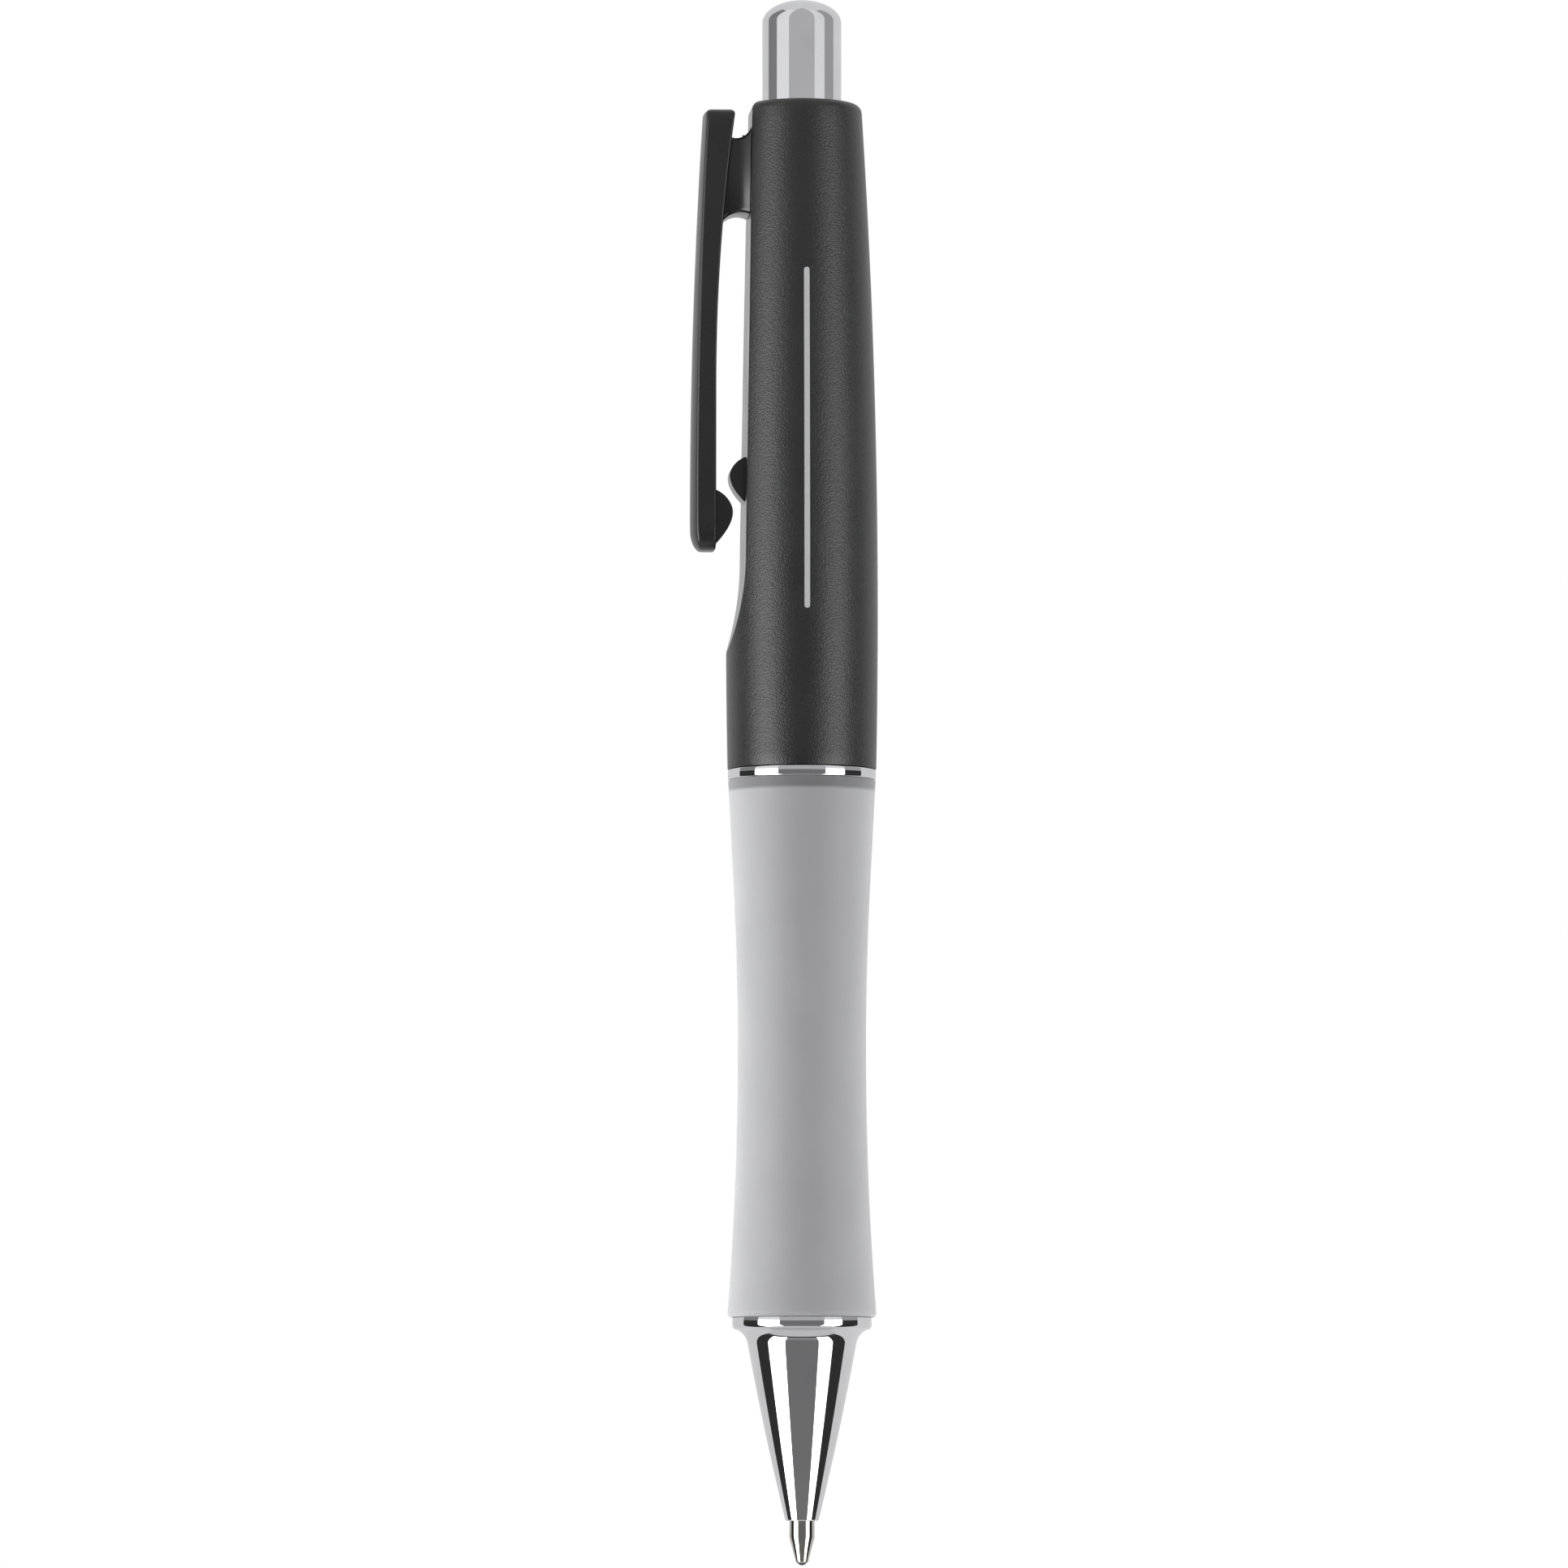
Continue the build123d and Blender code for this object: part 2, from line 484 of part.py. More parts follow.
def button_cap() -> Solid:
    """Domed and plated button."""
    skirt = BUTTON_RADIUS + SKIRT_STEP
    base = BARREL_TOP_Z - BUTTON_DEPTH
    shoulder = BUTTON_TOP_Z - BUTTON_DOME
    half_ellipse = Pos(0, shoulder) * Ellipse(BUTTON_RADIUS, BUTTON_DOME)
    upper_right = Pos(0, shoulder) * Rectangle(BUTTON_REACH, BUTTON_REACH, align=(Align.MIN, Align.MIN))
    dome = revolve(Plane.XZ * (half_ellipse & upper_right), Axis.Z)
    body = dome + rod(BUTTON_RADIUS, BARREL_TOP_Z, shoulder) + rod(skirt, base, BARREL_TOP_Z)
    return body - rod(BUTTON_RADIUS - BUTTON_WALL, base - 1, shoulder)


# --- Upper barrel and clip ---

def flat_cutter() -> Solid:
    """What the flat takes off the barrel: a sloped plane that runs out in an arc."""
    top = (-flat_distance(BARREL_TOP_Z + 1), BARREL_TOP_Z + 1)
    end = (-flat_distance(FLAT_END_Z), FLAT_END_Z)
    runout = (-BARREL_RADIUS - 0.1, FLAT_END_Z - FLAT_RUNOUT)
    face = Line(top, end)
    outside = -2 * BARREL_RADIUS
    outline = [face, TangentArc(end, runout, tangent=face % 1),
               *Polyline(runout, (outside, runout[1]), (outside, top[1]), top).edges()]
    return side_slab(make_face(outline), 4 * BARREL_RADIUS)


def catch(start: tuple, end: tuple, peak: tuple) -> Solid:
    """Raised catch with a curved back, from start over its peak to end, in (x, z)."""
    leave = (peak[0] - start[0], CATCH_LEAD * (peak[1] - start[1]))
    arrive = (end[0] - peak[0], CATCH_TRAIL * (end[1] - peak[1]))
    back = Spline(start, peak, end, tangents=(leave, arrive))
    return side_slab(make_face([back, Line(end, start)]), CATCH_WIDTH)


def barrel_catch() -> Solid:
    """Catch on the flat, just above the clip's own."""
    base = CLIP_END_Z + CLIP_CATCH_START + BARREL_CATCH_GAP
    top = base + BARREL_CATCH_LENGTH
    crest = base + CATCH_CREST * BARREL_CATCH_LENGTH
    return catch((CATCH_SUNK - flat_distance(top), top), (CATCH_SUNK - flat_distance(base), base),
                 (-flat_distance(crest) - BARREL_CATCH_HEIGHT, crest))


def upper_barrel() -> Solid:
    """Tapered upper barrel with the clip's flat, slot and catch."""
    belly = (BARREL_RADIUS, BARREL_BASE_Z + BELLY_HEIGHT)
    side = ThreePointArc((BARREL_BASE_RADIUS, BARREL_BASE_Z), belly, (BARREL_TOP_RADIUS, BARREL_TOP_Z))
    inside = Polyline((BARREL_TOP_RADIUS, BARREL_TOP_Z), (0, BARREL_TOP_Z), (0, BARREL_BASE_Z),
                      (BARREL_BASE_RADIUS, BARREL_BASE_Z))
    body = turned(side, *inside.edges())
    body -= flat_cutter()
    rim = body.edges().group_by(Axis.Z)[-1]
    body = fillet(rim, min(TOP_ROUND, RIM_SHARE * FLAT_WALL))
    body += barrel_catch()
    body -= rod(BUTTON_BORE, BARREL_BASE_Z - 1, BARREL_TOP_Z + 1)
    body -= rod(SLEEVE_RADIUS + FIT, BARREL_BASE_Z - 1, SLEEVE_TOP_Z + FIT)
    body -= rod(THREAD_BORE, BARREL_BASE_Z - 1, BARREL_BASE_Z + SPIGOT_LENGTH + THREAD_ROOM)
    slot_height = FOOT_LENGTH - 2 * TENON_MARGIN + 2 * SLOT_PLAY
    slot = Pos(-BUTTON_BORE, 0, FOOT_BASE_Z + FOOT_LENGTH / 2) * Box(
        4 * FLAT_WALL, TENON_WIDTH + 2 * SLOT_PLAY, slot_height)
    return body - slot


def clip_profile() -> Face:
    """Side outline of the clip's arm, in (x, z), with its corners rounded."""
    inner_low = (-FLAT_TOP - CLIP_STANDOFF, CLIP_END_Z)
    inner_mid = (inner_low[0], CLIP_END_Z + CLIP_STRAIGHT)
    inner_top = (-FLAT_TOP - CLIP_TOP_STANDOFF, CLIP_TOP_Z)
    straight = Line(inner_low, inner_mid)
    bend = TangentArc(inner_mid, inner_top, tangent=straight % 1)
    crest = clip_crest()
    face = make_face([straight, bend, Line(inner_top, crest @ 0), crest, Line(crest @ 1, inner_low)])
    top = face.vertices().group_by(Axis.Y)[-1]
    face = fillet(top, CLIP_TOP_ROUND)
    outer_end, inner_end = face.vertices().group_by(Axis.Y)[0].sort_by(Axis.X)
    face = fillet(outer_end, CLIP_TIP_ROUND)
    return fillet(face.vertices().group_by(Axis.Y)[0].sort_by(Axis.X)[-1], CLIP_TIP_ROUND / 4)


def clip_crest() -> Edge:
    """Crest line of the clip's outer face, from its top to its lower end."""
    top = (-FLAT_TOP - CLIP_TOP_STANDOFF - CLIP_TOP_THICKNESS, CLIP_TOP_Z)
    low = (-FLAT_TOP - CLIP_STANDOFF - CLIP_THICKNESS, CLIP_END_Z)
    middle = ((top[0] + low[0]) / 2 - CLIP_BOW, (top[1] + low[1]) / 2)
    return ThreePointArc(top, middle, low)


def clip_plan() -> Solid:
    """The clip's outline seen from outside: tapered, with rounded ends, as a long block along X."""
    half_top = CLIP_WIDTH / 2
    half_end = CLIP_END_WIDTH / 2
    face = make_face(Polyline((-half_top, CLIP_TOP_Z), (half_top, CLIP_TOP_Z), (half_end, CLIP_END_Z),
                              (-half_end, CLIP_END_Z), close=True))
    ends = face.vertices().group_by(Axis.Y)
    face = fillet(ends[-1], CLIP_CORNER_ROUND)
    face = fillet(face.vertices().group_by(Axis.Y)[0], CLIP_END_SHARE * half_end)
    return extrude(Plane.YZ * face, 3 * BARREL_RADIUS, both=True)


def clip_foot() -> Solid:
    """Foot that flares from the arm down to the flat, with the tenon behind it."""
    flat_top = -flat_distance(FOOT_TOP_Z) - SEAM
    flat_base = -flat_distance(FOOT_BASE_Z) - SEAM
    arm = -FLAT_TOP - CLIP_STANDOFF
    neck = -FLAT_TOP - CLIP_TOP_STANDOFF
    upper = ThreePointArc((flat_top, FOOT_TOP_Z), (neck + FOOT_SUNK, FOOT_TOP_Z - NECK_DIP),
                          (neck - 2 * FOOT_SUNK, FOOT_TOP_Z - NECK_DIP + FOOT_SUNK))
    lower = ThreePointArc((arm + FOOT_SUNK, FOOT_BASE_Z - NECK_DIP),
                          ((arm + flat_base) / 2, FOOT_BASE_Z + NECK_RISE), (flat_base, FOOT_BASE_Z))
    outline = [upper, Line(upper @ 1, lower @ 0), lower, Line(lower @ 1, upper @ 0)]
    side = side_slab(make_face(outline), 2 * FOOT_WIDTH)
    inside = flat_base + 2 * FOOT_SUNK
    waist = (neck + FOOT_SUNK, NECK_WIDTH / 2 + NECK_FLARE)
    right = ThreePointArc((inside, FOOT_WIDTH / 2), waist, (arm - FOOT_SUNK, NECK_WIDTH / 2))
    left = mirror(right, Plane.XZ)
    plan = make_face([right, left, Line(right @ 0, left @ 0), Line(right @ 1, left @ 1)])
    block = Pos(0, 0, FOOT_BASE_Z - FOOT_LENGTH / 2) * extrude(plan, 2 * FOOT_LENGTH)
    tenon = Pos(-TENON_END, 0, FOOT_BASE_Z + FOOT_LENGTH / 2) * Box(
        FLAT_TOP - TENON_END + 2 * FOOT_SUNK, TENON_WIDTH, FOOT_LENGTH - 2 * TENON_MARGIN,
        align=(Align.MAX, Align.CENTER, Align.CENTER))
    return (side & block) + tenon


def clip_catch() -> Solid:
    """Catch on the clip's inner face."""
    base = CLIP_END_Z + CLIP_CATCH_START
    top = base + CLIP_CATCH_LENGTH
    crest = base + CATCH_CREST * CLIP_CATCH_LENGTH
    inner = -FLAT_TOP - CLIP_STANDOFF
    root = inner - CATCH_SUNK
    return catch((root, top), (root, base), (inner + CLIP_CATCH_HEIGHT, crest))


def pocket_clip() -> Solid:
    """Clip: a crowned and tapered arm, its foot and its catch."""
    crest = clip_crest()
    centre = crest.arc_center
    crown = Pos(centre.X, 0, centre.Y) * Rot(90, 0, 0) * Torus(crest.radius - CLIP_CROWN, CLIP_CROWN)
    arm = side_slab(clip_profile(), 2 * CLIP_WIDTH) & clip_plan() & crown
    return arm + clip_foot() + clip_catch()


PIECES = {
    "nose_cone": nose_cone,
    "lower_barrel": lower_barrel,
    "grip_sleeve": grip_sleeve,
    "return_spring": return_spring,
    "barrel_ring": barrel_ring,
    "upper_barrel": upper_barrel,
    "pocket_clip": pocket_clip,
    "cam_sleeve": cam_sleeve,
    "push_cam": push_cam,
    "button_cap": button_cap,
    "rotor": rotor,
    "refill_tube": refill_tube,
    "tip_holder": tip_holder,
    "ballpoint_tip": ballpoint_tip,
    "writing_ball": writing_ball,
    "ink_column": ink_column,
    "ink_follower": ink_follower,
    "tail_plug": tail_plug,
}

os.makedirs("parts", exist_ok=True)
for name, make in PIECES.items():
    export_step(make(), f"parts/{name}.step")
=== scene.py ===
"""Looks of a push-button ballpoint pen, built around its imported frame.

The pen stands on its writing tip at the origin, with its axis along +Z and its clip on the -X side.
Sizes in the classes are in millimetres, and the meshes are in metres.
"""

import logging
import math
from dataclasses import dataclass, field
from enum import Enum
from typing import Callable

import bmesh
import bpy
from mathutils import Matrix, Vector


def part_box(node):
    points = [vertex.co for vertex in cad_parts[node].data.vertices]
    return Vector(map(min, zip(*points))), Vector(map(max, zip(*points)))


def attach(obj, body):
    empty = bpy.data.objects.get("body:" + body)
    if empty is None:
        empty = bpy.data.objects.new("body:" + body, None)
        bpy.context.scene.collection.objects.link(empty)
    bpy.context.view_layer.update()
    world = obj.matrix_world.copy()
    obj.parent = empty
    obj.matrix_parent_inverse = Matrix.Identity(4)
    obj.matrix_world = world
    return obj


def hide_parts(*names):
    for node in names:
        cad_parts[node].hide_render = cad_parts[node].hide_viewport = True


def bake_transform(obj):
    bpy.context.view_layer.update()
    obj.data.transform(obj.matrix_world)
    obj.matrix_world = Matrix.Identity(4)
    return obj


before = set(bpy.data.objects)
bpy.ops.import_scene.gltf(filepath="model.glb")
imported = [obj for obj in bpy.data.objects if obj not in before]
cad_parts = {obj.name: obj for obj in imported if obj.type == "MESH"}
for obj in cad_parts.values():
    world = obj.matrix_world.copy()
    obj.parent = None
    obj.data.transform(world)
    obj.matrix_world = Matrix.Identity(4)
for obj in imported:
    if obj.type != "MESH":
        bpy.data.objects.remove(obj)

MM = 0.001
CREASE = 30.0  # degrees: sharper edges of a turned piece stay crisp
Point = tuple[float, float]

logging.basicConfig(level=logging.INFO, format="%(message)s")
log = logging.getLogger("pen")


# --- Outlines, in millimetres ---


def circle_through(a: Point, b: Point, c: Point) -> tuple[Point, float]:
    """Centre and radius of the circle through three points.

    Args:
        a: First point.
        b: Second point.
        c: Third point.

    Returns:
        The centre, and the radius.
    """
    squares = [p[0] ** 2 + p[1] ** 2 for p in (a, b, c)]
    gaps_y = (b[1] - c[1], c[1] - a[1], a[1] - b[1])
    gaps_x = (c[0] - b[0], a[0] - c[0], b[0] - a[0])
    twice_area = 2 * sum(p[0] * gap for p, gap in zip((a, b, c), gaps_y))
    x = sum(square * gap for square, gap in zip(squares, gaps_y)) / twice_area
    y = sum(square * gap for square, gap in zip(squares, gaps_x)) / twice_area
    return (x, y), math.dist((x, y), a)


def arc(a: Point, b: Point, c: Point, steps: int) -> list[Point]:
    """Points along the arc from a through b to c, without a itself.

    Args:
        a: Where the arc starts.
        b: A point on the arc.
        c: Where the arc ends.
        steps: How many equal steps the arc is divided into.

    Returns:
        The points, ending with c.
    """
    centre, radius = circle_through(a, b, c)
    angle_a, angle_b, angle_c = (math.atan2(p[1] - centre[1], p[0] - centre[0]) for p in (a, b, c))
    sweep = (angle_c - angle_a) % math.tau
    if (angle_b - angle_a) % math.tau > sweep:
        sweep -= math.tau
    turns = [angle_a + sweep * step / steps for step in range(1, steps + 1)]
    return [(centre[0] + radius * math.cos(t), centre[1] + radius * math.sin(t)) for t in turns]


def rounded(before: Point, corner: Point, after: Point, radius: float, steps: int) -> list[Point]:
    """A corner of an outline, rounded between its two straight sides.

    Args:
        before: A point on the side that comes in.
        corner: The sharp corner.
        after: A point on the side that goes out.
        radius: Radius of the rounding.
        steps: How many steps the rounding has.

    Returns:
        The points of the rounding, both ends included.
    """
    corner_v = Vector(corner)
    back = (Vector(before) - corner_v).normalized()
    ahead = (Vector(after) - corner_v).normalized()
    half = back.angle(ahead) / 2
    reach = radius / math.tan(half)
    start, end = corner_v + back * reach, corner_v + ahead * reach
    centre = corner_v + (back + ahead).normalized() * (radius / math.sin(half))
    middle = centre + (corner_v - centre).normalized() * radius
    return [tuple(start), *arc(tuple(start), tuple(middle), tuple(end), steps)]


def hermite(start: Point, leave: Point, end: Point, arrive: Point, steps: int) -> list[Point]:
    """Points along a cubic curve with given end tangents, without its start.

    Args:
        start: Where the curve starts.
        leave: Its tangent there.
        end: Where the curve ends.
        arrive: Its tangent there.
        steps: How many steps the curve is divided into.

    Returns:
        The points, ending with end.
    """
    points = []
    for step in range(1, steps + 1):
        t = step / steps
        weights = (2 * t**3 - 3 * t**2 + 1, t**3 - 2 * t**2 + t, 3 * t**2 - 2 * t**3, t**3 - t**2)
        points.append(tuple(sum(w * p[axis] for w, p in zip(weights, (start, leave, end, arrive)))
                            for axis in (0, 1)))
    return points


def spaced(start: float, end: float, step: float) -> list[float]:
    """Evenly spaced values from start up to, but without, end."""
    count = max(1, round((end - start) / step))
    return [start + (end - start) * index / count for index in range(count)]


# --- Modelling ---


def deselect_all() -> None:
    """Leaves edit mode and deselects every object."""
    if bpy.context.object and bpy.context.object.mode == "EDIT":
        bpy.ops.object.mode_set(mode="OBJECT")
    bpy.ops.object.select_all(action="DESELECT")


def make_active(obj: bpy.types.Object) -> None:
    """Selects one object alone and makes it active."""
    deselect_all()
    obj.select_set(True)
    bpy.context.view_layer.objects.active = obj


def close_up(obj: bpy.types.Object) -> None:
    """Merges an edit mesh's doubles and points its faces outwards."""
    bpy.ops.mesh.select_all(action="SELECT")
    bpy.ops.mesh.remove_doubles(threshold=0.0005 * MM)
    bpy.ops.mesh.normals_make_consistent(inside=False)
    bpy.ops.object.mode_set(mode="OBJECT")


def start_vertex(place: Vector) -> bpy.types.Object:
    """Adds a small plane at a place and merges it to one vertex, in edit mode.

    Args:
        place: Where the vertex lies, in metres.

    Returns:
        The object, with the vertex selected.
    """
    deselect_all()
    bpy.ops.mesh.primitive_plane_add(size=MM, location=place)
    obj = bpy.context.object
    bpy.ops.object.transform_apply(location=True, rotation=True, scale=True)
    bpy.ops.object.mode_set(mode="EDIT")
    bpy.ops.mesh.select_all(action="SELECT")
    bpy.ops.mesh.merge(type="CENTER")
    return obj


def draw_outline(points: list[Vector], closed: bool) -> bpy.types.Object:
    """Draws an outline by extruding a vertex from point to point.

    Args:
        points: The outline's points, in metres.
        closed: Whether the last point is joined to the first.

    Returns:
        The object, in edit mode, with all of the outline selected.
    """
    obj = start_vertex(points[0])
    for here, there in zip(points, points[1:]):
        bpy.ops.mesh.extrude_region_move(TRANSFORM_OT_translate={"value": there - here})
    if closed:
        mesh = bmesh.from_edit_mesh(obj.data)
        for vert in mesh.verts:
            vert.select = len(vert.link_edges) < 2
        mesh.select_flush(True)
        bpy.ops.mesh.edge_face_add()
    bpy.ops.mesh.select_all(action="SELECT")
    return obj


def turn(outline: list[Point], segments: int, closed: bool) -> bpy.types.Object:
    """Turns an outline of (radius, height) about the pen's axis, as on a lathe.

    Args:
        outline: The outline's points.
        segments: How many segments go round the axis.
        closed: Whether the outline closes on itself; otherwise both ends lie on the axis.

    Returns:
        The turned object, in object mode.
    """
    obj = draw_outline([Vector((r * MM, 0, z * MM)) for r, z in outline], closed)
    bpy.ops.mesh.spin(steps=segments, angle=math.tau, center=(0, 0, 0), axis=(0, 0, 1))
    close_up(obj)
    return obj


def loft(rings: list[list[Vector]], closed: bool) -> bpy.types.Object:
    """Extrudes a circle ring by ring, and lays each ring's vertices on its section.

    Args:
        rings: Sections with equally many points each, in metres.
        closed: Whether the last section joins the first; otherwise both ends are capped.

    Returns:
        The lofted object, in object mode.
    """
    deselect_all()
    bpy.ops.mesh.primitive_circle_add(vertices=len(rings[0]), radius=MM)
    obj = bpy.context.object
    bpy.ops.object.mode_set(mode="EDIT")
    bpy.ops.mesh.select_all(action="SELECT")
    mesh = bmesh.from_edit_mesh(obj.data)
    mesh.verts.ensure_lookup_table()
    column = list(range(len(rings[0])))
    for index, spot in zip(column, rings[0]):
        mesh.verts[index].co = spot
    for ring in rings[1:] + (rings[:1] if closed else []):
        bpy.ops.mesh.extrude_region_move()
        mesh = bmesh.from_edit_mesh(obj.data)
        mesh.verts.ensure_lookup_table()
        mesh.verts.index_update()
        column = [next(other.index for edge in mesh.verts[index].link_edges
                       for other in (edge.other_vert(mesh.verts[index]),) if other.select)
                  for index in column]
        for index, spot in zip(column, ring):
            mesh.verts[index].co = spot
    if not closed:
        bpy.ops.mesh.select_all(action="DESELECT")
        bpy.ops.mesh.select_non_manifold(extend=False, use_wire=False, use_boundary=True,
                                         use_multi_face=False, use_non_contiguous=False,
                                         use_verts=False)
        bpy.ops.mesh.edge_face_add()
    close_up(obj)
    return obj


def slab(outline: list[Point], width: float, edge: float) -> bpy.types.Object:
    """Extrudes a side outline of (x, z) across the pen, with its rims bevelled.

    Args:
        outline: The outline's points.
        width: Width along Y, centred on the clip's plane.
        edge: Width of the bevel along both rims.

    Returns:
        The slab, in object mode.
    """
    half = width / 2 * MM
    obj = draw_outline([Vector((x * MM, -half, z * MM)) for x, z in outline], closed=True)
    bpy.ops.mesh.edge_face_add()
    bpy.ops.mesh.extrude_region_move(TRANSFORM_OT_translate={"value": (0, 2 * half, 0)})
    mesh = bmesh.from_edit_mesh(obj.data)
    bpy.ops.mesh.select_all(action="DESELECT")
    for mesh_edge in mesh.edges:
        first, second = mesh_edge.verts
        mesh_edge.select_set(abs(first.co.y - second.co.y) < half)
    bpy.ops.mesh.bevel(offset=edge * MM, segments=3, affect="EDGES", clamp_overlap=True)
    close_up(obj)
    return obj


def block(low: Vector, high: Vector) -> bpy.types.Object:
    """A box between two corners, in millimetres, to cut or join with."""
    deselect_all()
    bpy.ops.mesh.primitive_cube_add(size=1, location=(low + high) / 2 * MM, scale=(high - low) * MM)
    bpy.ops.object.transform_apply(location=True, rotation=True, scale=True)
    return bpy.context.object


class Joining(Enum):
    """What a boolean does with its tool."""

    ADD = "UNION"
    CUT = "DIFFERENCE"


def combine(obj: bpy.types.Object, tool: bpy.types.Object, joining: Joining) -> None:
    """Joins a tool to an object, or cuts it away, and removes the tool.

    Args:
        obj: The object that stays.
        tool: The object that is used up.
        joining: Whether the tool is added or cut away.
    """
    make_active(obj)
    change = obj.modifiers.new("combine", "BOOLEAN")
    change.operation = joining.value
    change.solver = "EXACT"
    change.object = tool
    bpy.ops.object.modifier_apply(modifier=change.name)
    bpy.data.objects.remove(tool)


def smooth(obj: bpy.types.Object, angle: float) -> None:
    """Shades an object smooth, with edges sharper than an angle in degrees kept crisp."""
    make_active(obj)
    bpy.ops.object.shade_smooth_by_angle(angle=math.radians(angle))


def assign(obj: bpy.types.Object, second: Callable[[Vector], bool]) -> None:
    """Gives an object's second material to the faces whose centres pass a test.

    Args:
        obj: The object, with two materials.
        second: Says whether a face centre, in millimetres, belongs to the second material.
    """
    for face in obj.data.polygons:
        face.material_index = int(second(face.center / MM))


# --- Finishes ---


def linear(code: str) -> tuple[float, float, float, float]:
    """An sRGB hex colour as linear red, green and blue, with alpha."""
    parts = [int(code[place:place + 2], 16) / 255 for place in (1, 3, 5)]
    red, green, blue = (p / 12.92 if p <= 0.04045 else ((p + 0.055) / 1.055) ** 2.4 for p in parts)
    return red, green, blue, 1.0


def add_node(tree: bpy.types.NodeTree, kind: str, inputs: dict | None = None,
             **settings) -> bpy.types.Node:
    """Adds one shader node with its settings and links.

    Args:
        tree: The node tree that it goes in.
        kind: The node's type name.
        inputs: Values or sockets for its inputs, by name or number.
        **settings: The node's own properties.

    Returns:
        The node.
    """
    made = tree.nodes.new(kind)
    for name, value in settings.items():
        setattr(made, name, value)
    for key, value in (inputs or {}).items():
        if isinstance(value, bpy.types.NodeSocket):
            tree.links.new(value, made.inputs[key])
        else:
            made.inputs[key].default_value = value
    return made


def maths(tree: bpy.types.NodeTree, operation: str,
          *values: float | bpy.types.NodeSocket) -> bpy.types.NodeSocket:
    """Adds a Math node that works on one or two values, and returns its result."""
    return add_node(tree, "ShaderNodeMath", dict(enumerate(values)), operation=operation).outputs[0]


def paint_over(tree: bpy.types.NodeTree, shader: bpy.types.Node, mask: bpy.types.NodeSocket,
               colour: str) -> None:
    """Lays a second colour over a shader's base colour, as far as a mask says.

    Args:
        tree: The material's nodes.
        shader: The shader, with its base colour linked.
        mask: How much of the second colour shows, from 0 to 1.
        colour: The second colour, as an sRGB hex code.
    """
    plain = shader.inputs["Base Color"].links[0].from_socket
    over = add_node(tree, "ShaderNodeMix", {"Factor": mask, "A": plain, "B": linear(colour)},
                    data_type="RGBA")
    tree.links.new(over.outputs["Result"], shader.inputs["Base Color"])


def spread_of(tree: bpy.types.NodeTree, source: bpy.types.NodeSocket, low: float,
              high: float) -> bpy.types.NodeSocket:
    """Spreads a noise's usual values, about 0.3 to 0.7, between two limits."""
    spread = add_node(tree, "ShaderNodeMapRange",
                      {"Value": source, "From Min": 0.3, "From Max": 0.7, "To Min": low,
                       "To Max": high})
    return spread.outputs["Result"]


@dataclass(frozen=True)
class Finish:
    """What one surface is made of and how it was finished.

    Each kind of finish adds its own nodes in dress.
    """

    name: str
    slot: str
    colour: str
    tint: str
    roughness: Point = (0.3, 0.4)
    patch: float = 4.0  # size of the slow changes in colour and gloss
    grain: float = 0.2  # spacing of the surface's texture
    depth: float = 0.002  # height of that texture
    ior: float = 1.5

    def material(self) -> bpy.types.Material:
        """Makes the material, or returns the one already made.

        Returns:
            The material, with its shader and its patterns.
        """
        if self.name in bpy.data.materials:
            return bpy.data.materials[self.name]
        made = bpy.data.materials.new(self.name)
        made.use_nodes = True
        tree = made.node_tree
        tree.nodes.clear()
        place = add_node(tree, "ShaderNodeTexCoord").outputs["Object"]
        slow = add_node(tree, "ShaderNodeTexNoise",
                        {"Vector": place, "Scale": 1 / (self.patch * MM), "Detail": 2.0})
        shade = add_node(tree, "ShaderNodeMix",
                         {"Factor": spread_of(tree, slow.outputs["Fac"], 0, 1),
                          "A": linear(self.colour), "B": linear(self.tint)}, data_type="RGBA")
        gloss = spread_of(tree, slow.outputs["Fac"], *self.roughness)
        shader = add_node(tree, "ShaderNodeBsdfPrincipled",
                          {"Base Color": shade.outputs["Result"], "Roughness": gloss,
                           "IOR": self.ior})
        self.dress(tree, place, shader)
        add_node(tree, "ShaderNodeOutputMaterial", {"Surface": shader.outputs["BSDF"]})
        return made

    def dress(self, tree: bpy.types.NodeTree, place: bpy.types.NodeSocket,
              shader: bpy.types.Node) -> None:
        """Adds the surface's texture.

        Args:
            tree: The material's nodes.
            place: Object coordinates.
            shader: The shader that the texture goes to.
        """
        self.roughen(tree, place, shader, 3.0)

    def roughen(self, tree: bpy.types.NodeTree, place: bpy.types.NodeSocket,
                shader: bpy.types.Node, detail: float) -> None:
        """Raises a noise as fine relief on the surface.

        Args:
            tree: The material's nodes.
            place: The coordinates that the noise follows.
            shader: The shader that the relief goes to.
            detail: How many finer layers the noise has.
        """
        noise = add_node(tree, "ShaderNodeTexNoise",
                         {"Vector": place, "Scale": 1 / (self.grain * MM), "Detail": detail})
        bump = add_node(tree, "ShaderNodeBump", {"Strength": 1.0, "Distance": self.depth * MM,
                                                 "Height": noise.outputs["Fac"]})
        tree.links.new(bump.outputs["Normal"], shader.inputs["Normal"])


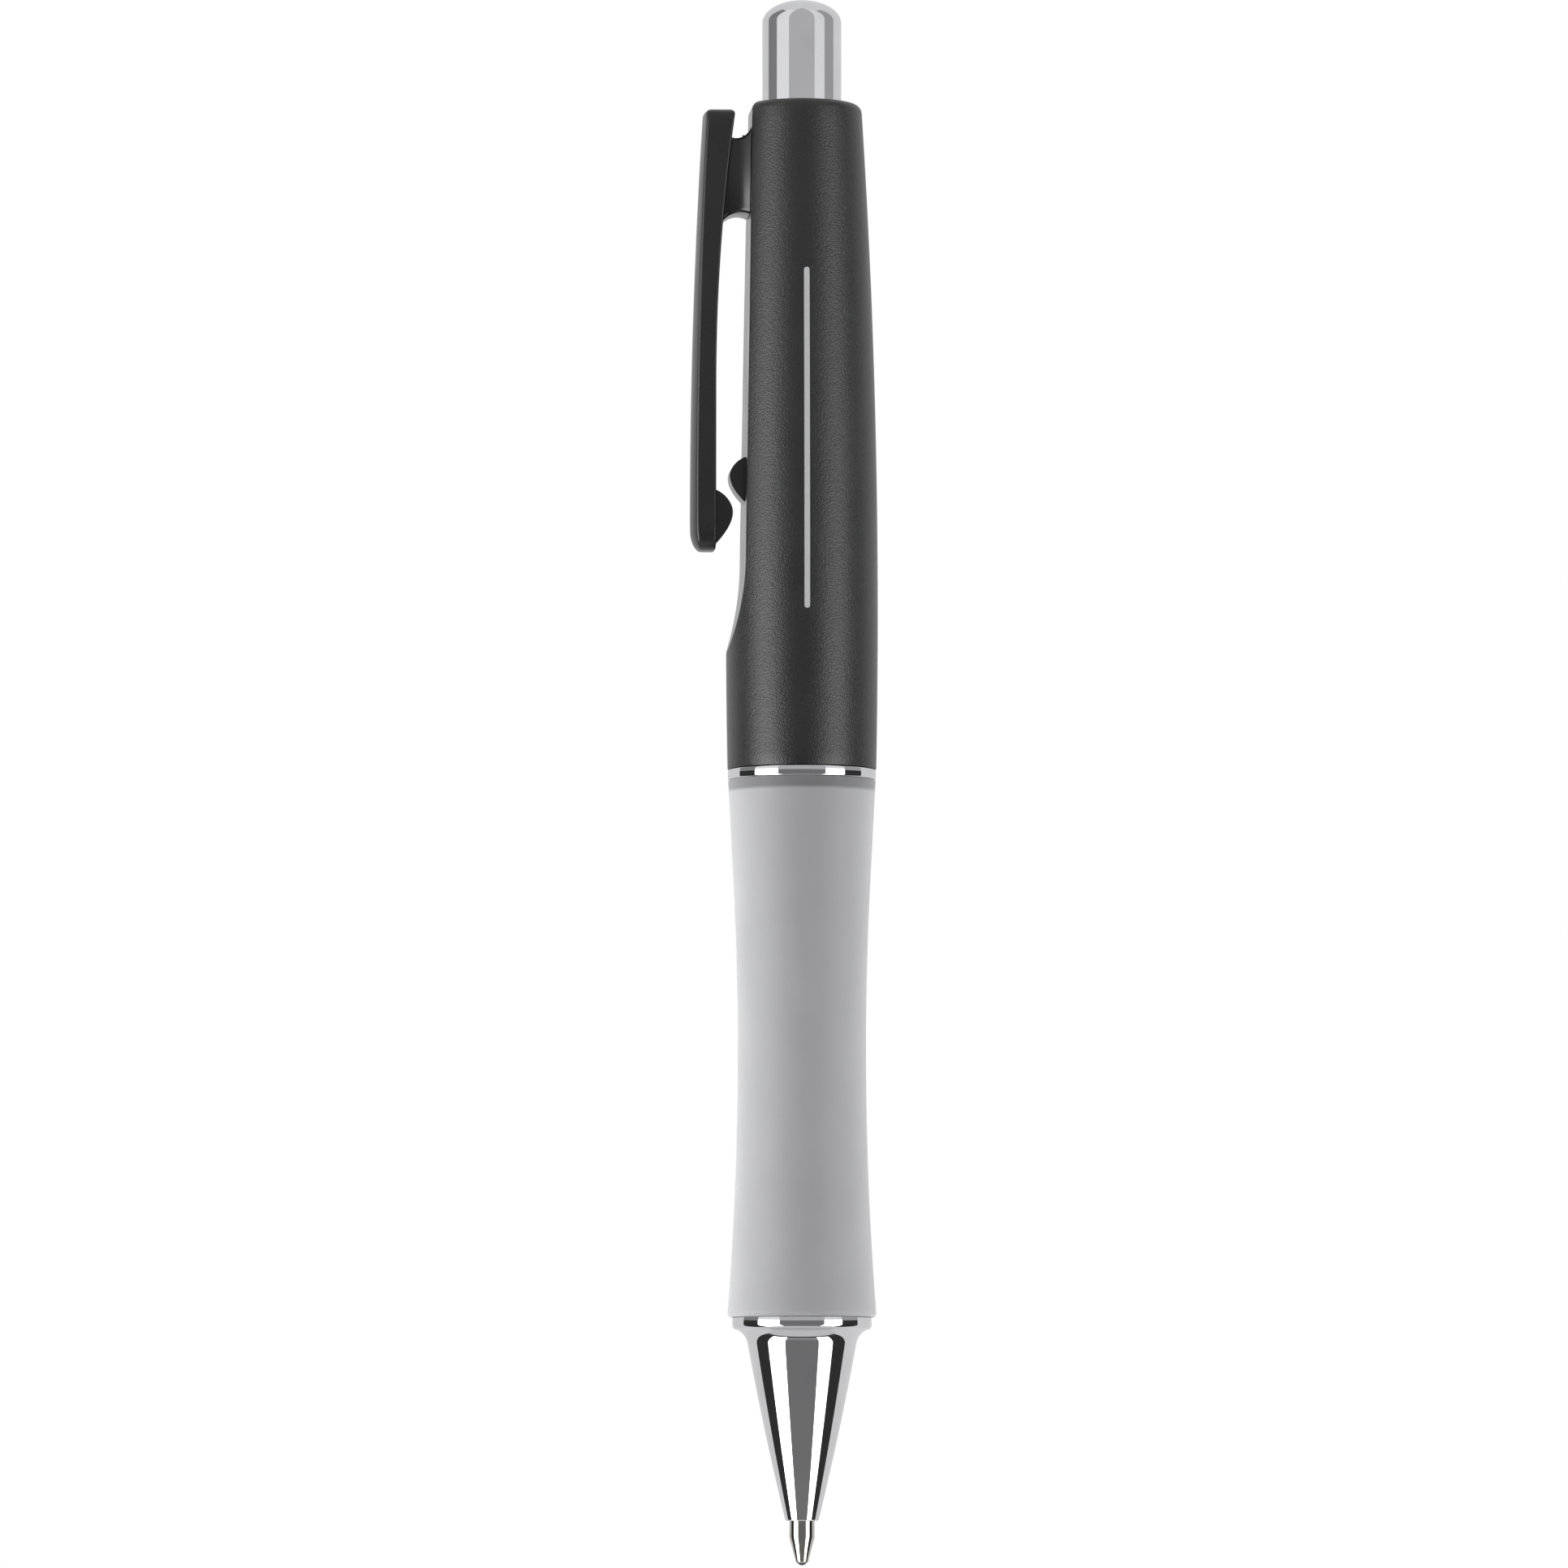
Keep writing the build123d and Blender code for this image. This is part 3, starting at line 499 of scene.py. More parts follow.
@dataclass(frozen=True)
class Printed(Finish):
    """A moulded plastic with one plain line printed up its front."""

    ink: str = "#B4B5B7"
    line_width: float = 0.5
    line_low: float = 86.0
    line_high: float = 117.0
    line_blur: float = 0.06  # share of the line's half width over which its edge fades

    def dress(self, tree: bpy.types.NodeTree, place: bpy.types.NodeSocket,
              shader: bpy.types.Node) -> None:
        """Adds the grain, and the printed line over the colour.

        Args:
            tree: The material's nodes.
            place: Object coordinates.
            shader: The shader that they go to.
        """
        super().dress(tree, place, shader)
        axes = add_node(tree, "ShaderNodeSeparateXYZ", {0: place})
        middle = (self.line_low + self.line_high) / 2
        reach = (self.line_high - self.line_low - self.line_width) / 2
        past = maths(tree, "ABSOLUTE", maths(tree, "SUBTRACT", axes.outputs["Z"], middle * MM))
        end = maths(tree, "MAXIMUM", maths(tree, "SUBTRACT", past, reach * MM), 0.0)
        across = add_node(tree, "ShaderNodeCombineXYZ", {"X": axes.outputs["X"], "Y": end})
        distance = add_node(tree, "ShaderNodeVectorMath", {0: across.outputs[0]},
                            operation="LENGTH")
        half = self.line_width / 2 * MM
        inside = add_node(tree, "ShaderNodeMapRange",
                          {"Value": distance.outputs["Value"],
                           "From Min": half * (1 + self.line_blur),
                           "From Max": half * (1 - self.line_blur)})
        front = maths(tree, "LESS_THAN", axes.outputs["Y"], 0.0)
        paint_over(tree, shader, maths(tree, "MULTIPLY", inside.outputs[0], front), self.ink)


@dataclass(frozen=True)
class Metal(Finish):
    """A bare or plated metal, with marks that run round the axis."""

    stretch: float = 20.0  # how much longer than wide the marks are

    def dress(self, tree: bpy.types.NodeTree, place: bpy.types.NodeSocket,
              shader: bpy.types.Node) -> None:
        """Makes the shader metal and adds turning or polishing marks.

        Args:
            tree: The material's nodes.
            place: Object coordinates.
            shader: The shader that they go to.
        """
        shader.inputs["Metallic"].default_value = 1.0
        drawn_out = (1 / self.stretch, 1 / self.stretch, 1.0)
        flat = add_node(tree, "ShaderNodeMapping", {"Vector": place, "Scale": drawn_out})
        self.roughen(tree, flat.outputs["Vector"], shader, 2.0)


@dataclass(frozen=True)
class Silicone(Finish):
    """A translucent rubber, with painted shade in a band just below the ring, where the dark collar
    inside shows through.
    """

    # painted shade: the dark colour laid in a band below the ring, standing in for the collar seen
    # through the rubber
    band: str = "#4A4A4C"
    collar_shade_low: float = 69.7
    collar_shade_high: float = 70.1
    collar_shade_share: float = 0.75  # how strongly the painted shade of the collar shows
    sheen: float = 0.3
    sheen_roughness: float = 0.8
    scatter: float = 1.0
    scatter_depth: float = 2.5

    def dress(self, tree: bpy.types.NodeTree, place: bpy.types.NodeSocket,
              shader: bpy.types.Node) -> None:
        """Adds the collar's painted shade, the light inside the rubber and its satin skin.

        Args:
            tree: The material's nodes.
            place: Object coordinates.
            shader: The shader that they go to.
        """
        super().dress(tree, place, shader)
        axes = add_node(tree, "ShaderNodeSeparateXYZ", {0: place})
        # Painted shade: the rubber's colour is darkened in a band just under the ring, standing in
        # for the dark collar seen through it.
        inside = add_node(tree, "ShaderNodeMapRange",
                          {"Value": axes.outputs["Z"], "From Min": self.collar_shade_low * MM,
                           "From Max": self.collar_shade_high * MM, "To Max": self.collar_shade_share},
                          interpolation_type="SMOOTHSTEP")
        paint_over(tree, shader, inside.outputs[0], self.band)
        shader.inputs["Sheen Weight"].default_value = self.sheen
        shader.inputs["Sheen Roughness"].default_value = self.sheen_roughness
        shader.inputs["Subsurface Weight"].default_value = self.scatter
        shader.inputs["Subsurface Radius"].default_value = (1.0, 1.0, 1.0)
        shader.inputs["Subsurface Scale"].default_value = self.scatter_depth * MM


# Moulded black ABS with a spark-eroded skin: a soft grey sheen broken up into fine bright specks.
# The real grain is about 0.1 mm apart, and it is drawn at 0.15 mm so that it shows.
PRINTED_ABS = Printed("printed_textured_abs", "textured_abs", "#1F1F20", "#232324",
                      (0.30, 0.35), 6.0, 0.15, 0.04, 1.53)
# The clip's ABS: a shallower grain and a shinier skin, whose edges catch thin lines of light.
CLIP_ABS = Finish("clip_abs", "textured_abs", "#1E1E1F", "#222223",
                  (0.24, 0.30), 6.0, 0.2, 0.005, 1.53)
# The same ABS from a polished part of the mould: darker and glossier, with a faint ripple.
POLISHED_ABS = Finish("polished_abs", "textured_abs", "#1B1B1C", "#1E1E1F",
                      (0.16, 0.22), 5.0, 1.5, 0.001, 1.53)
# Decorative chrome plate: near-white metal with crisp reflections and a trace of polishing haze.
CHROME_PLATE = Metal("polished_chrome", "chrome_plate", "#E6E6E8", "#DEDEE1",
                     (0.035, 0.06), 5.0, 0.5, 0.00002)
# Translucent smoke-grey silicone rubber: satin skin, light that spreads inside, no sharp highlight.
SMOKE_SILICONE = Silicone("smoke_silicone_rubber", "smoke_silicone", "#98989A", "#9C9C9E",
                          (0.48, 0.56), 8.0, 0.3, 0.002, 1.42)
# General-purpose polystyrene, moulded in grey: plain even gloss.
GREY_POLYSTYRENE = Finish("moulded_polystyrene", "grey_polystyrene", "#58585B", "#5E5E61",
                          (0.22, 0.30), 6.0, 1.2, 0.001, 1.59)
# Natural acetal: waxy off-white with a soft gloss.
ACETAL = Finish("moulded_acetal", "acetal", "#E4E3DC", "#DBDAD2",
                (0.30, 0.38), 3.0, 0.4, 0.001, 1.48)
# Extruded polypropylene: milky and slightly cloudy.
REFILL_POLYPROPYLENE = Finish("extruded_polypropylene", "refill_polypropylene",
                              "#D5D9DC", "#C9CED2", (0.25, 0.33), 4.0, 0.5, 0.001, 1.49)
# Cold-drawn spring wire: grey steel with fine drawing marks.
SPRING_STEEL = Metal("drawn_steel_wire", "spring_steel", "#A9AAAC", "#9A9B9D",
                     (0.22, 0.32), 1.0, 0.08, 0.0005)
# Turned nickel silver: warm pale metal with rings from the tool, 0.06 mm apart so that they show.
NICKEL_SILVER = Metal("turned_nickel_silver", "nickel_silver", "#D2CEC8", "#C8C4BD",
                      (0.06, 0.11), 1.5, 0.06, 0.00008)
# Ground tungsten carbide: dark, dense, mirror-like metal with a film of ink.
TUNGSTEN_CARBIDE = Metal("ground_carbide", "tungsten_carbide", "#6E6F73", "#55565A",
                         (0.10, 0.18), 0.4, 0.05, 0.0001)
# Oil-based black ink: wet and almost opaque.
BLACK_INK = Finish("black_ink", "ink", "#0B0B10", "#101018",
                   (0.05, 0.10), 5.0, 1.0, 0.0005, 1.48)
# Follower grease: clear amber, wet.
FOLLOWER_GREASE = Finish("clear_grease", "follower_grease", "#D8C58C", "#CBB678",
                         (0.12, 0.2), 1.5, 0.5, 0.001, 1.47)


# --- Pieces ---


def low_corner(node: str) -> Vector:
    """A field that holds the low corner of a CAD node's box, in millimetres."""
    return field(default_factory=lambda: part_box(node)[0] / MM)


def high_corner(node: str) -> Vector:
    """A field that holds the high corner of a CAD node's box, in millimetres."""
    return field(default_factory=lambda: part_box(node)[1] / MM)


def hand_over(obj: bpy.types.Object, name: str, node: str, body: str,
              finishes: list[Finish]) -> None:
    """Names a finished piece, gives it its finishes and lets it stand for its CAD node.

    Args:
        obj: The piece.
        name: The piece's name.
        node: The CAD node that it stands for.
        body: The CAD body that it rides on.
        finishes: Its finishes, in the order of its material slots.
    """
    obj.name = obj.data.name = name
    for finish in finishes:
        obj.data.materials.append(finish.material())
    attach(obj, body)
    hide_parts(node)
    log.info("piece %s: %d faces, stands for %s", name, len(obj.data.polygons), node)


def dress_node(node: str, finish: Finish) -> None:
    """Gives a CAD node that is kept its finish."""
    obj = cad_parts[node]
    obj.data.materials.clear()
    obj.data.materials.append(finish.material())
    log.info("node %s: %s", node, finish.name)


@dataclass
class UpperBarrel:
    """Moulded upper barrel: a bowed taper with a flat, a slot and a catch on the clip's side."""

    low: Vector = low_corner("upper_barrel")
    high: Vector = high_corner("upper_barrel")
    base_tuck: float = 0.15
    belly_height: float = 14.0
    top_radius: float = 5.42
    top_round: float = 0.774
    base_round: float = 0.08
    flat_top: float = 4.70
    flat_slope: float = 0.94
    flat_end_height: float = 18.8
    runout_length: float = 8.5
    flat_edge: float = 0.07  # depth of the soft edge round the flat
    thread_bore: float = 5.40
    thread_depth: float = 7.0
    sleeve_bore: float = 4.02
    button_bore: float = 3.84
    button_guide: float = 10.58
    slot_size: Point = (3.24, 6.84)
    slot_middle: float = 6.3  # below the barrel's top
    catch_width: float = 3.0
    catch_base: float = 95.8
    catch_length: float = 4.5
    catch_height: float = 1.4
    catch_crest: float = 0.6  # height of the crest, as a share of the catch's length
    catch_edge: float = 0.22
    catch_sunk: float = 0.3
    mouth_lead: float = 0.12
    columns: int = 168
    flat_columns: int = 14  # on either side of the clip's plane
    edge_columns: int = 6
    edge_band: float = 0.22  # how far the edge's columns reach to either side of it
    flat_reach: float = 80.0  # angle from the clip's plane that the flat stays within
    least_edge: float = 0.3  # the edge's narrowest angle, as a share of its angle at the base
    settling: float = 0.7  # power by which the columns even out below the flat
    plain_step: float = 1.1  # between rings on the round side, the run-out and the flat
    runout_step: float = 0.2
    flat_step: float = 1.0
    runout_margins: Point = (0.6, 0.4)  # how far the close rings go past the run-out's ends
    inner_depths: Point = (1.0, 0.3)  # how deep under the round side and the flat the inside is
    flat_skin: float = 0.012  # how near the flat its faces' centres lie
    crease: float = 24.0

    def __post_init__(self) -> None:
        """Works out the bowed side and the flat's run-out arc."""
        self.base_z = self.low.z
        self.top_z = self.high.z
        belly = self.high.x
        self.side_centre, self.side_radius = circle_through(
            (belly - self.base_tuck, self.base_z), (belly, self.base_z + self.belly_height),
            (self.top_radius, self.top_z))
        self.flat_end_z = self.base_z + self.flat_end_height
        slope = math.radians(self.flat_slope)
        start = Vector((self.plane_distance(self.flat_end_z), self.flat_end_z))
        end = Vector((belly + 0.1, self.flat_end_z - self.runout_length))
        outward = Vector((math.cos(slope), math.sin(slope)))
        chord = end - start
        self.runout_radius = chord.length_squared / (2 * chord.dot(outward))
        self.runout_centre = start + outward * self.runout_radius
        self.runout_end_z = end.y

    def plane_distance(self, z: float) -> float:
        """Distance of the flat's plane from the axis at a height."""
        return self.flat_top + (self.top_z - z) * math.tan(math.radians(self.flat_slope))

    def radius(self, z: float) -> float:
        """Outer radius at a height, before the rounding of the ends."""
        return self.side_centre[0] + math.sqrt(self.side_radius**2 - (z - self.side_centre[1]) ** 2)

    def flat_distance(self, z: float) -> float:
        """Distance of the flat or its run-out from the axis at a height."""
        if z >= self.flat_end_z:
            return self.plane_distance(z)
        if z <= self.runout_end_z:
            return 2 * self.high.x
        rise = z - self.runout_centre.y
        return self.runout_centre.x - math.sqrt(self.runout_radius**2 - rise**2)

    def edge_angle(self, z: float) -> float:
        """Angle from the clip's plane to the flat's edge, or to where its columns stand."""
        even = math.pi * (self.flat_columns + self.edge_columns / 2) / (self.columns / 2)
        least = even * self.least_edge
        share = self.flat_distance(z) / self.radius(z)
        if share < 1:
            return max(math.acos(share), least)
        below = min(1, (self.runout_end_z + 1 - z) / (self.runout_end_z + 1 - self.base_z))
        return least + (even - least) * max(0, below) ** self.settling

    def column_angle(self, column: int, z: float) -> float:
        """Angle of a column of vertices from the clip's plane, at a height.

        Args:
            column: The column's number, counted from the clip's plane either way round.
            z: The height.

        Returns:
            The angle, with the columns close together along the flat's edge.
        """
        half = self.columns // 2
        edge = self.edge_angle(z)
        band = self.edge_band / self.radius(z)
        side = -1 if column > half else 1
        number = self.columns - column if column > half else column
        if number <= self.flat_columns:
            return side * (edge - band) * number / self.flat_columns
        number -= self.flat_columns
        if number <= self.edge_columns:
            return side * (edge - band + 2 * band * number / self.edge_columns)
        number -= self.edge_columns
        rest = half - self.flat_columns - self.edge_columns
        return side * (edge + band + (math.pi - edge - band) * number / rest)

    def ring(self, z: float, inset: float, drawn_z: float) -> list[Vector]:
        """One ring of the outside, as a circle that the flat cuts into.

        Args:
            z: The height that sets the section's size.
            inset: How far the section is drawn in, for the rounding of an end.
            drawn_z: The height that the ring lies at.

        Returns:
            The ring's points, in metres.
        """
        points = []
        for column in range(self.columns):
            angle = self.column_angle(column, z)
            round_side = self.radius(z) - inset
            reach = round_side
            if abs(angle) < math.radians(self.flat_reach):
                flat_side = (self.flat_distance(z) - inset) / math.cos(angle)
                gap = max(0, 1 - abs(round_side - flat_side) / self.flat_edge)
                reach = min(round_side, flat_side) - gap**2 * self.flat_edge / 4
            points.append(Vector((-reach * math.cos(angle), reach * math.sin(angle), drawn_z)) * MM)
        return points

    def bore_ring(self, radius: float, z: float) -> list[Vector]:
        """One ring of a bore, with its columns where the barrel's top has them."""
        angles = [self.column_angle(column, self.top_z) for column in range(self.columns)]
        return [Vector((-radius * math.cos(a), radius * math.sin(a), z)) * MM for a in angles]

    def rings(self) -> list[list[Vector]]:
        """Every ring of the barrel: up the outside, over the top and down the bores."""
        top_start = self.top_z - self.top_round
        below = self.runout_end_z - self.runout_margins[0]
        above = self.flat_end_z + self.runout_margins[1]
        heights = [*spaced(self.base_z + self.base_round, below, self.plain_step),
                   *spaced(below, above, self.runout_step),
                   *spaced(above, top_start, self.flat_step)]
        part = self.base_round * 0.3
        rings = [self.ring(self.base_z, self.base_round, self.base_z),
                 self.ring(self.base_z, part, self.base_z + part)]
        rings += [self.ring(z, 0, z) for z in heights]
        steps = 10
        for step in range(steps + 1):
            turned = math.pi / 2 * step / steps
            z = top_start + self.top_round * math.sin(turned)
            rings.append(self.ring(min(z, self.top_z), self.top_round * (1 - math.cos(turned)), z))
        ledge = self.top_z - self.button_guide
        rings += [self.bore_ring(self.button_bore + self.mouth_lead, self.top_z),
                  self.bore_ring(self.button_bore, self.top_z - self.mouth_lead),
                  self.bore_ring(self.button_bore, ledge), self.bore_ring(self.sleeve_bore, ledge)]
        thread_top = self.base_z + self.thread_depth
        rings += [self.bore_ring(self.sleeve_bore, thread_top),
                  self.bore_ring(self.thread_bore, thread_top),
                  self.bore_ring(self.thread_bore, self.base_z)]
        return rings

    def catch(self) -> bpy.types.Object:
        """The catch on the flat, sunk a little into it."""
        top = self.catch_base + self.catch_length
        crest = self.catch_base + self.catch_crest * self.catch_length
        start = (self.catch_sunk - self.flat_distance(top), top)
        peak = (-self.flat_distance(crest) - self.catch_height, crest)
        end = (self.catch_sunk - self.flat_distance(self.catch_base), self.catch_base)
        return slab(catch_outline(start, peak, end), self.catch_width, self.catch_edge)

    def polished(self, centre: Vector) -> bool:
        """Whether a face belongs to the polished flat, its catch or the inside."""
        from_axis = math.hypot(centre.x, centre.y)
        from_flat = self.flat_distance(centre.z) + centre.x
        inside = (from_axis < self.radius(centre.z) - self.inner_depths[0]
                  and from_flat > self.inner_depths[1])
        return inside or from_flat < self.flat_skin

    def build(self) -> None:
        """Builds the barrel."""
        obj = loft(self.rings(), closed=True)
        middle = self.top_z - self.slot_middle
        width, height = self.slot_size
        slot = block(Vector((-self.flat_top - 1, -width / 2, middle - height / 2)),
                     Vector((-self.button_bore + 1, width / 2, middle + height / 2)))
        combine(obj, slot, Joining.CUT)
        combine(obj, self.catch(), Joining.ADD)
        smooth(obj, self.crease)
        hand_over(obj, "upper_barrel_moulding", "upper_barrel", "barrel",
                  [PRINTED_ABS, POLISHED_ABS])
        assign(obj, self.polished)


def catch_outline(start: Point, peak: Point, end: Point) -> list[Point]:
    """Side outline of a catch, from its upper root over its crest to its lower root.

    Args:
        start: Upper root.
        peak: Crest.
        end: Lower root.

    Returns:
        The outline's points.
    """
    rise = (peak[0] - start[0], peak[1] - start[1])
    fall = (end[0] - peak[0], end[1] - peak[1])
    # The tangents are shares of the rise and the fall, for hollow roots and a round crest.
    leave = (1.7 * rise[0], 0.34 * rise[1])
    over_top = (0.0, 1.2 * rise[1])
    over_low = (0.0, 1.2 * fall[1])
    arrive = (1.1 * fall[0], 0.66 * fall[1])
    steps = 10
    return [start, *hermite(start, leave, peak, over_top, steps),
            *hermite(peak, over_low, end, arrive, steps)]


@dataclass
class Clip:
    """Moulded clip: a crowned and tapered arm, its foot with a tenon, and a catch."""

    barrel: UpperBarrel
    low: Vector = low_corner("pocket_clip")
    high: Vector = high_corner("pocket_clip")
    top_width: float = 5.2
    end_width: float = 4.4
    standoff: float = 3.22
    thickness: float = 2.26
    top_standoff: float = 1.47
    top_thickness: float = 2.83
    straight: float = 15.3
    bow: float = 0.34
    crown_top: float = 14.0  # radius of the crowned face at the arm's top
    crown_end: float = 4.8
    edge: float = 0.30
    edge_share: float = 0.4  # of the arm's side that its rounded edge may take up
    shoulder_share: float = 0.6  # of the half width, where the rounded edge's direction is taken
    inner_edge: float = 0.16
    inner_skin: float = 0.04  # how near the inner face its faces' centres lie
    top_round: float = 0.5
    tip_round: float = 1.0
    tip_inner_round: float = 0.25
    corner_round: float = 0.9
    end_round: float = 1.54
    foot_drop: float = 2.3
    foot_length: float = 8.0
    foot_width: float = 6.0
    neck_width: float = 3.8
    neck_dip: float = 0.95
    neck_rise: float = 0.05
    neck_flare: float = 0.25
    foot_sunk: float = 0.4
    foot_round: float = 0.45
    seam: float = 0.05
    tenon_width: float = 3.0
    tenon_margin: float = 0.7
    tenon_end: float = 3.96
    catch_width: float = 3.0
    catch_start: float = 0.3
    catch_length: float = 5.3
    catch_height: float = 1.56
    catch_crest: float = 0.6
    catch_edge: float = 0.22
    catch_sunk: float = 0.3
    crease: float = 28.0

    def __post_init__(self) -> None:
        """Works out the arm's inner and outer lines, in distance from the axis and height."""
        flat = self.barrel.flat_top
        self.end_z, self.top_z = self.low.z, self.high.z
        self.inner = flat + self.standoff
        self.neck = flat + self.top_standoff
        self.bend_z = self.end_z + self.straight
        top = (self.neck, self.top_z)
        chord = (top[0] - self.inner, top[1] - self.bend_z)
        self.bend_radius = (chord[0] ** 2 + chord[1] ** 2) / (2 * -chord[0])
        outer_top = (self.neck + self.top_thickness, self.top_z)
        outer_low = (self.inner + self.thickness, self.end_z)
        middle = ((outer_top[0] + outer_low[0]) / 2 + self.bow, (self.top_z + self.end_z) / 2)
        self.crest_centre, self.crest_radius = circle_through(outer_top, middle, outer_low)

    def inner_line(self, z: float) -> float:
        """Distance of the arm's inner face from the axis at a height."""
        if z <= self.bend_z:
            return self.inner
        reach = math.sqrt(self.bend_radius**2 - (z - self.bend_z) ** 2)
        return self.inner - self.bend_radius + reach

    def crest_line(self, z: float) -> float:
        """Distance of the arm's crest from the axis at a height."""
        rise = z - self.crest_centre[1]
        return self.crest_centre[0] + math.sqrt(self.crest_radius**2 - rise**2)

    @staticmethod
    def drawn_in(distance: float, radius: float) -> float:
        """How far a rounding draws a side in, at a distance from the end."""
        if distance >= radius:
            return 0.0
        return radius - math.sqrt(max(0.0, radius**2 - (radius - distance) ** 2))

    def section(self, z: float) -> list[Vector]:
        """The arm's section at a height: flat inside, crowned outside, with soft corners.

        Args:
            z: The height.

        Returns:
            The section's points, in metres.
        """
        from_top, from_end = self.top_z - z, z - self.end_z
        share = from_end / (self.top_z - self.end_z)
        half = (self.end_width + (self.top_width - self.end_width) * share) / 2
        half -= self.drawn_in(from_top, self.corner_round) + self.drawn_in(from_end, self.end_round)
        inner = self.inner_line(z) + self.drawn_in(from_top, self.top_round)
        inner += self.drawn_in(from_end, self.tip_inner_round)
        outer = self.crest_line(z) - self.drawn_in(from_top, self.top_round)
        outer -= self.drawn_in(from_end / 2, self.tip_round)
        crown = 1 / (share / self.crown_top + (1 - share) / self.crown_end)
        shoulder = outer - (crown - math.sqrt(crown**2 - half**2))
        edge = min(self.edge, (shoulder - inner) * self.edge_share)
        near = half * self.shoulder_share
        outline = []
        for side in (1, -1):
            inner_corner = rounded((inner, 0), (inner, half), (shoulder, half), self.inner_edge, 4)
            inward = (outer - (crown - math.sqrt(crown**2 - near**2)), near)
            outer_corner = rounded((inner, half), (shoulder, half), inward, edge, 5)
            back = []
            for step in range(1, 8):
                y = outer_corner[-1][1] * (1 - step / 8)
                back.append((outer - (crown - math.sqrt(crown**2 - y**2)), y))
            flat = [(inner, half * step / 4) for step in range(1, 3)]
            part = [*flat, *inner_corner, *outer_corner, *back]
            outline.append([(x, side * y) for x, y in part])
        points = [(inner, 0.0), *outline[0], (outer, 0.0), *reversed(outline[1])]
        return [Vector((-x, y, z)) * MM for x, y in points]

    def arm(self) -> bpy.types.Object:
        """The arm, lofted from its lower end to its top."""
        low_zone, top_zone = self.end_round, self.corner_round
        turns = [math.pi / 2 * step / 12 for step in range(13)]
        heights = [self.end_z + low_zone * (1 - math.cos(t)) for t in turns]
        heights += spaced(self.end_z + low_zone, self.top_z - top_zone, 1.0)[1:]
        heights += [self.top_z - top_zone * (1 - math.sin(t)) for t in turns]
        return loft([self.section(z) for z in heights], closed=False)

    def foot(self) -> bpy.types.Object:
        """The foot, lofted from the flat into the arm, with hollow ends and sides."""
        top = self.barrel.top_z - self.foot_drop
        base = top - self.foot_length
        flat_top = self.barrel.plane_distance(top) + self.seam
        flat_base = self.barrel.plane_distance(base) + self.seam
        upper, upper_radius = circle_through(
            (flat_top, top), (self.neck - self.foot_sunk, top - self.neck_dip),
            (self.neck + 2 * self.foot_sunk, top - self.neck_dip + self.foot_sunk))
        lower, lower_radius = circle_through(
            (self.inner - self.foot_sunk, base - self.neck_dip),
            ((self.inner + flat_base) / 2, base + self.neck_rise), (flat_base, base))
        side, side_radius = circle_through(
            (flat_base - 2 * self.foot_sunk, self.foot_width / 2),
            (self.neck - self.foot_sunk, self.neck_width / 2 + self.neck_flare),
            (self.inner + self.foot_sunk, self.neck_width / 2))
        rings = []
        steps = 22
        for step in range(steps + 1):
            high_x = flat_top + (self.neck + 1.9 * self.foot_sunk - flat_top) * step / steps
            low_x = flat_base + (self.inner - self.foot_sunk * 0.9 - flat_base) * step / steps
            high_z = upper[1] - math.sqrt(upper_radius**2 - (high_x - upper[0]) ** 2)
            low_z = lower[1] + math.sqrt(lower_radius**2 - (low_x - lower[0]) ** 2)
            half = side[1] - math.sqrt(side_radius**2 - ((low_x + high_x) / 2 - side[0]) ** 2)
            corners = [(-half, low_z), (half, low_z), (half, high_z), (-half, high_z)]
            outline = []
            for index, corner in enumerate(corners):
                outline += rounded(corners[index - 1], corner, corners[(index + 1) % 4],
                                   self.foot_round, 6)
            tilt = (high_x - low_x) / (high_z - low_z)
            rings.append([Vector((-(low_x + tilt * (z - low_z)), y, z)) * MM for y, z in outline])
        return loft(rings, closed=False)

    def tenon(self) -> bpy.types.Object:
        """The tenon that holds the foot in the barrel's slot."""
        top = self.barrel.top_z - self.foot_drop - self.tenon_margin
        base = top - self.foot_length + 2 * self.tenon_margin
        half = self.tenon_width / 2
        return block(Vector((-self.barrel.flat_top - 2 * self.foot_sunk, -half, base)),
                     Vector((-self.tenon_end, half, top)))

    def catch(self) -> bpy.types.Object:
        """The catch on the arm's inner face, sunk a little into it."""
        base = self.end_z + self.catch_start
        top = base + self.catch_length
        crest = base + self.catch_crest * self.catch_length
        root = -self.inner - self.catch_sunk
        outline = catch_outline((root, top), (-self.inner + self.catch_height, crest), (root, base))
        return slab(outline, self.catch_width, self.catch_edge)

    def polished(self, centre: Vector) -> bool:
        """Whether a face belongs to the foot, the catch or the arm's inner face."""
        return -centre.x < self.inner_line(centre.z) + self.inner_skin

    def build(self) -> None:
        """Builds the clip."""
        obj = self.arm()
        for tool in (self.foot, self.tenon, self.catch):
            combine(obj, tool(), Joining.ADD)
        smooth(obj, self.crease)
        hand_over(obj, "pocket_clip_moulding", "pocket_clip", "clip", [CLIP_ABS, POLISHED_ABS])
        assign(obj, self.polished)


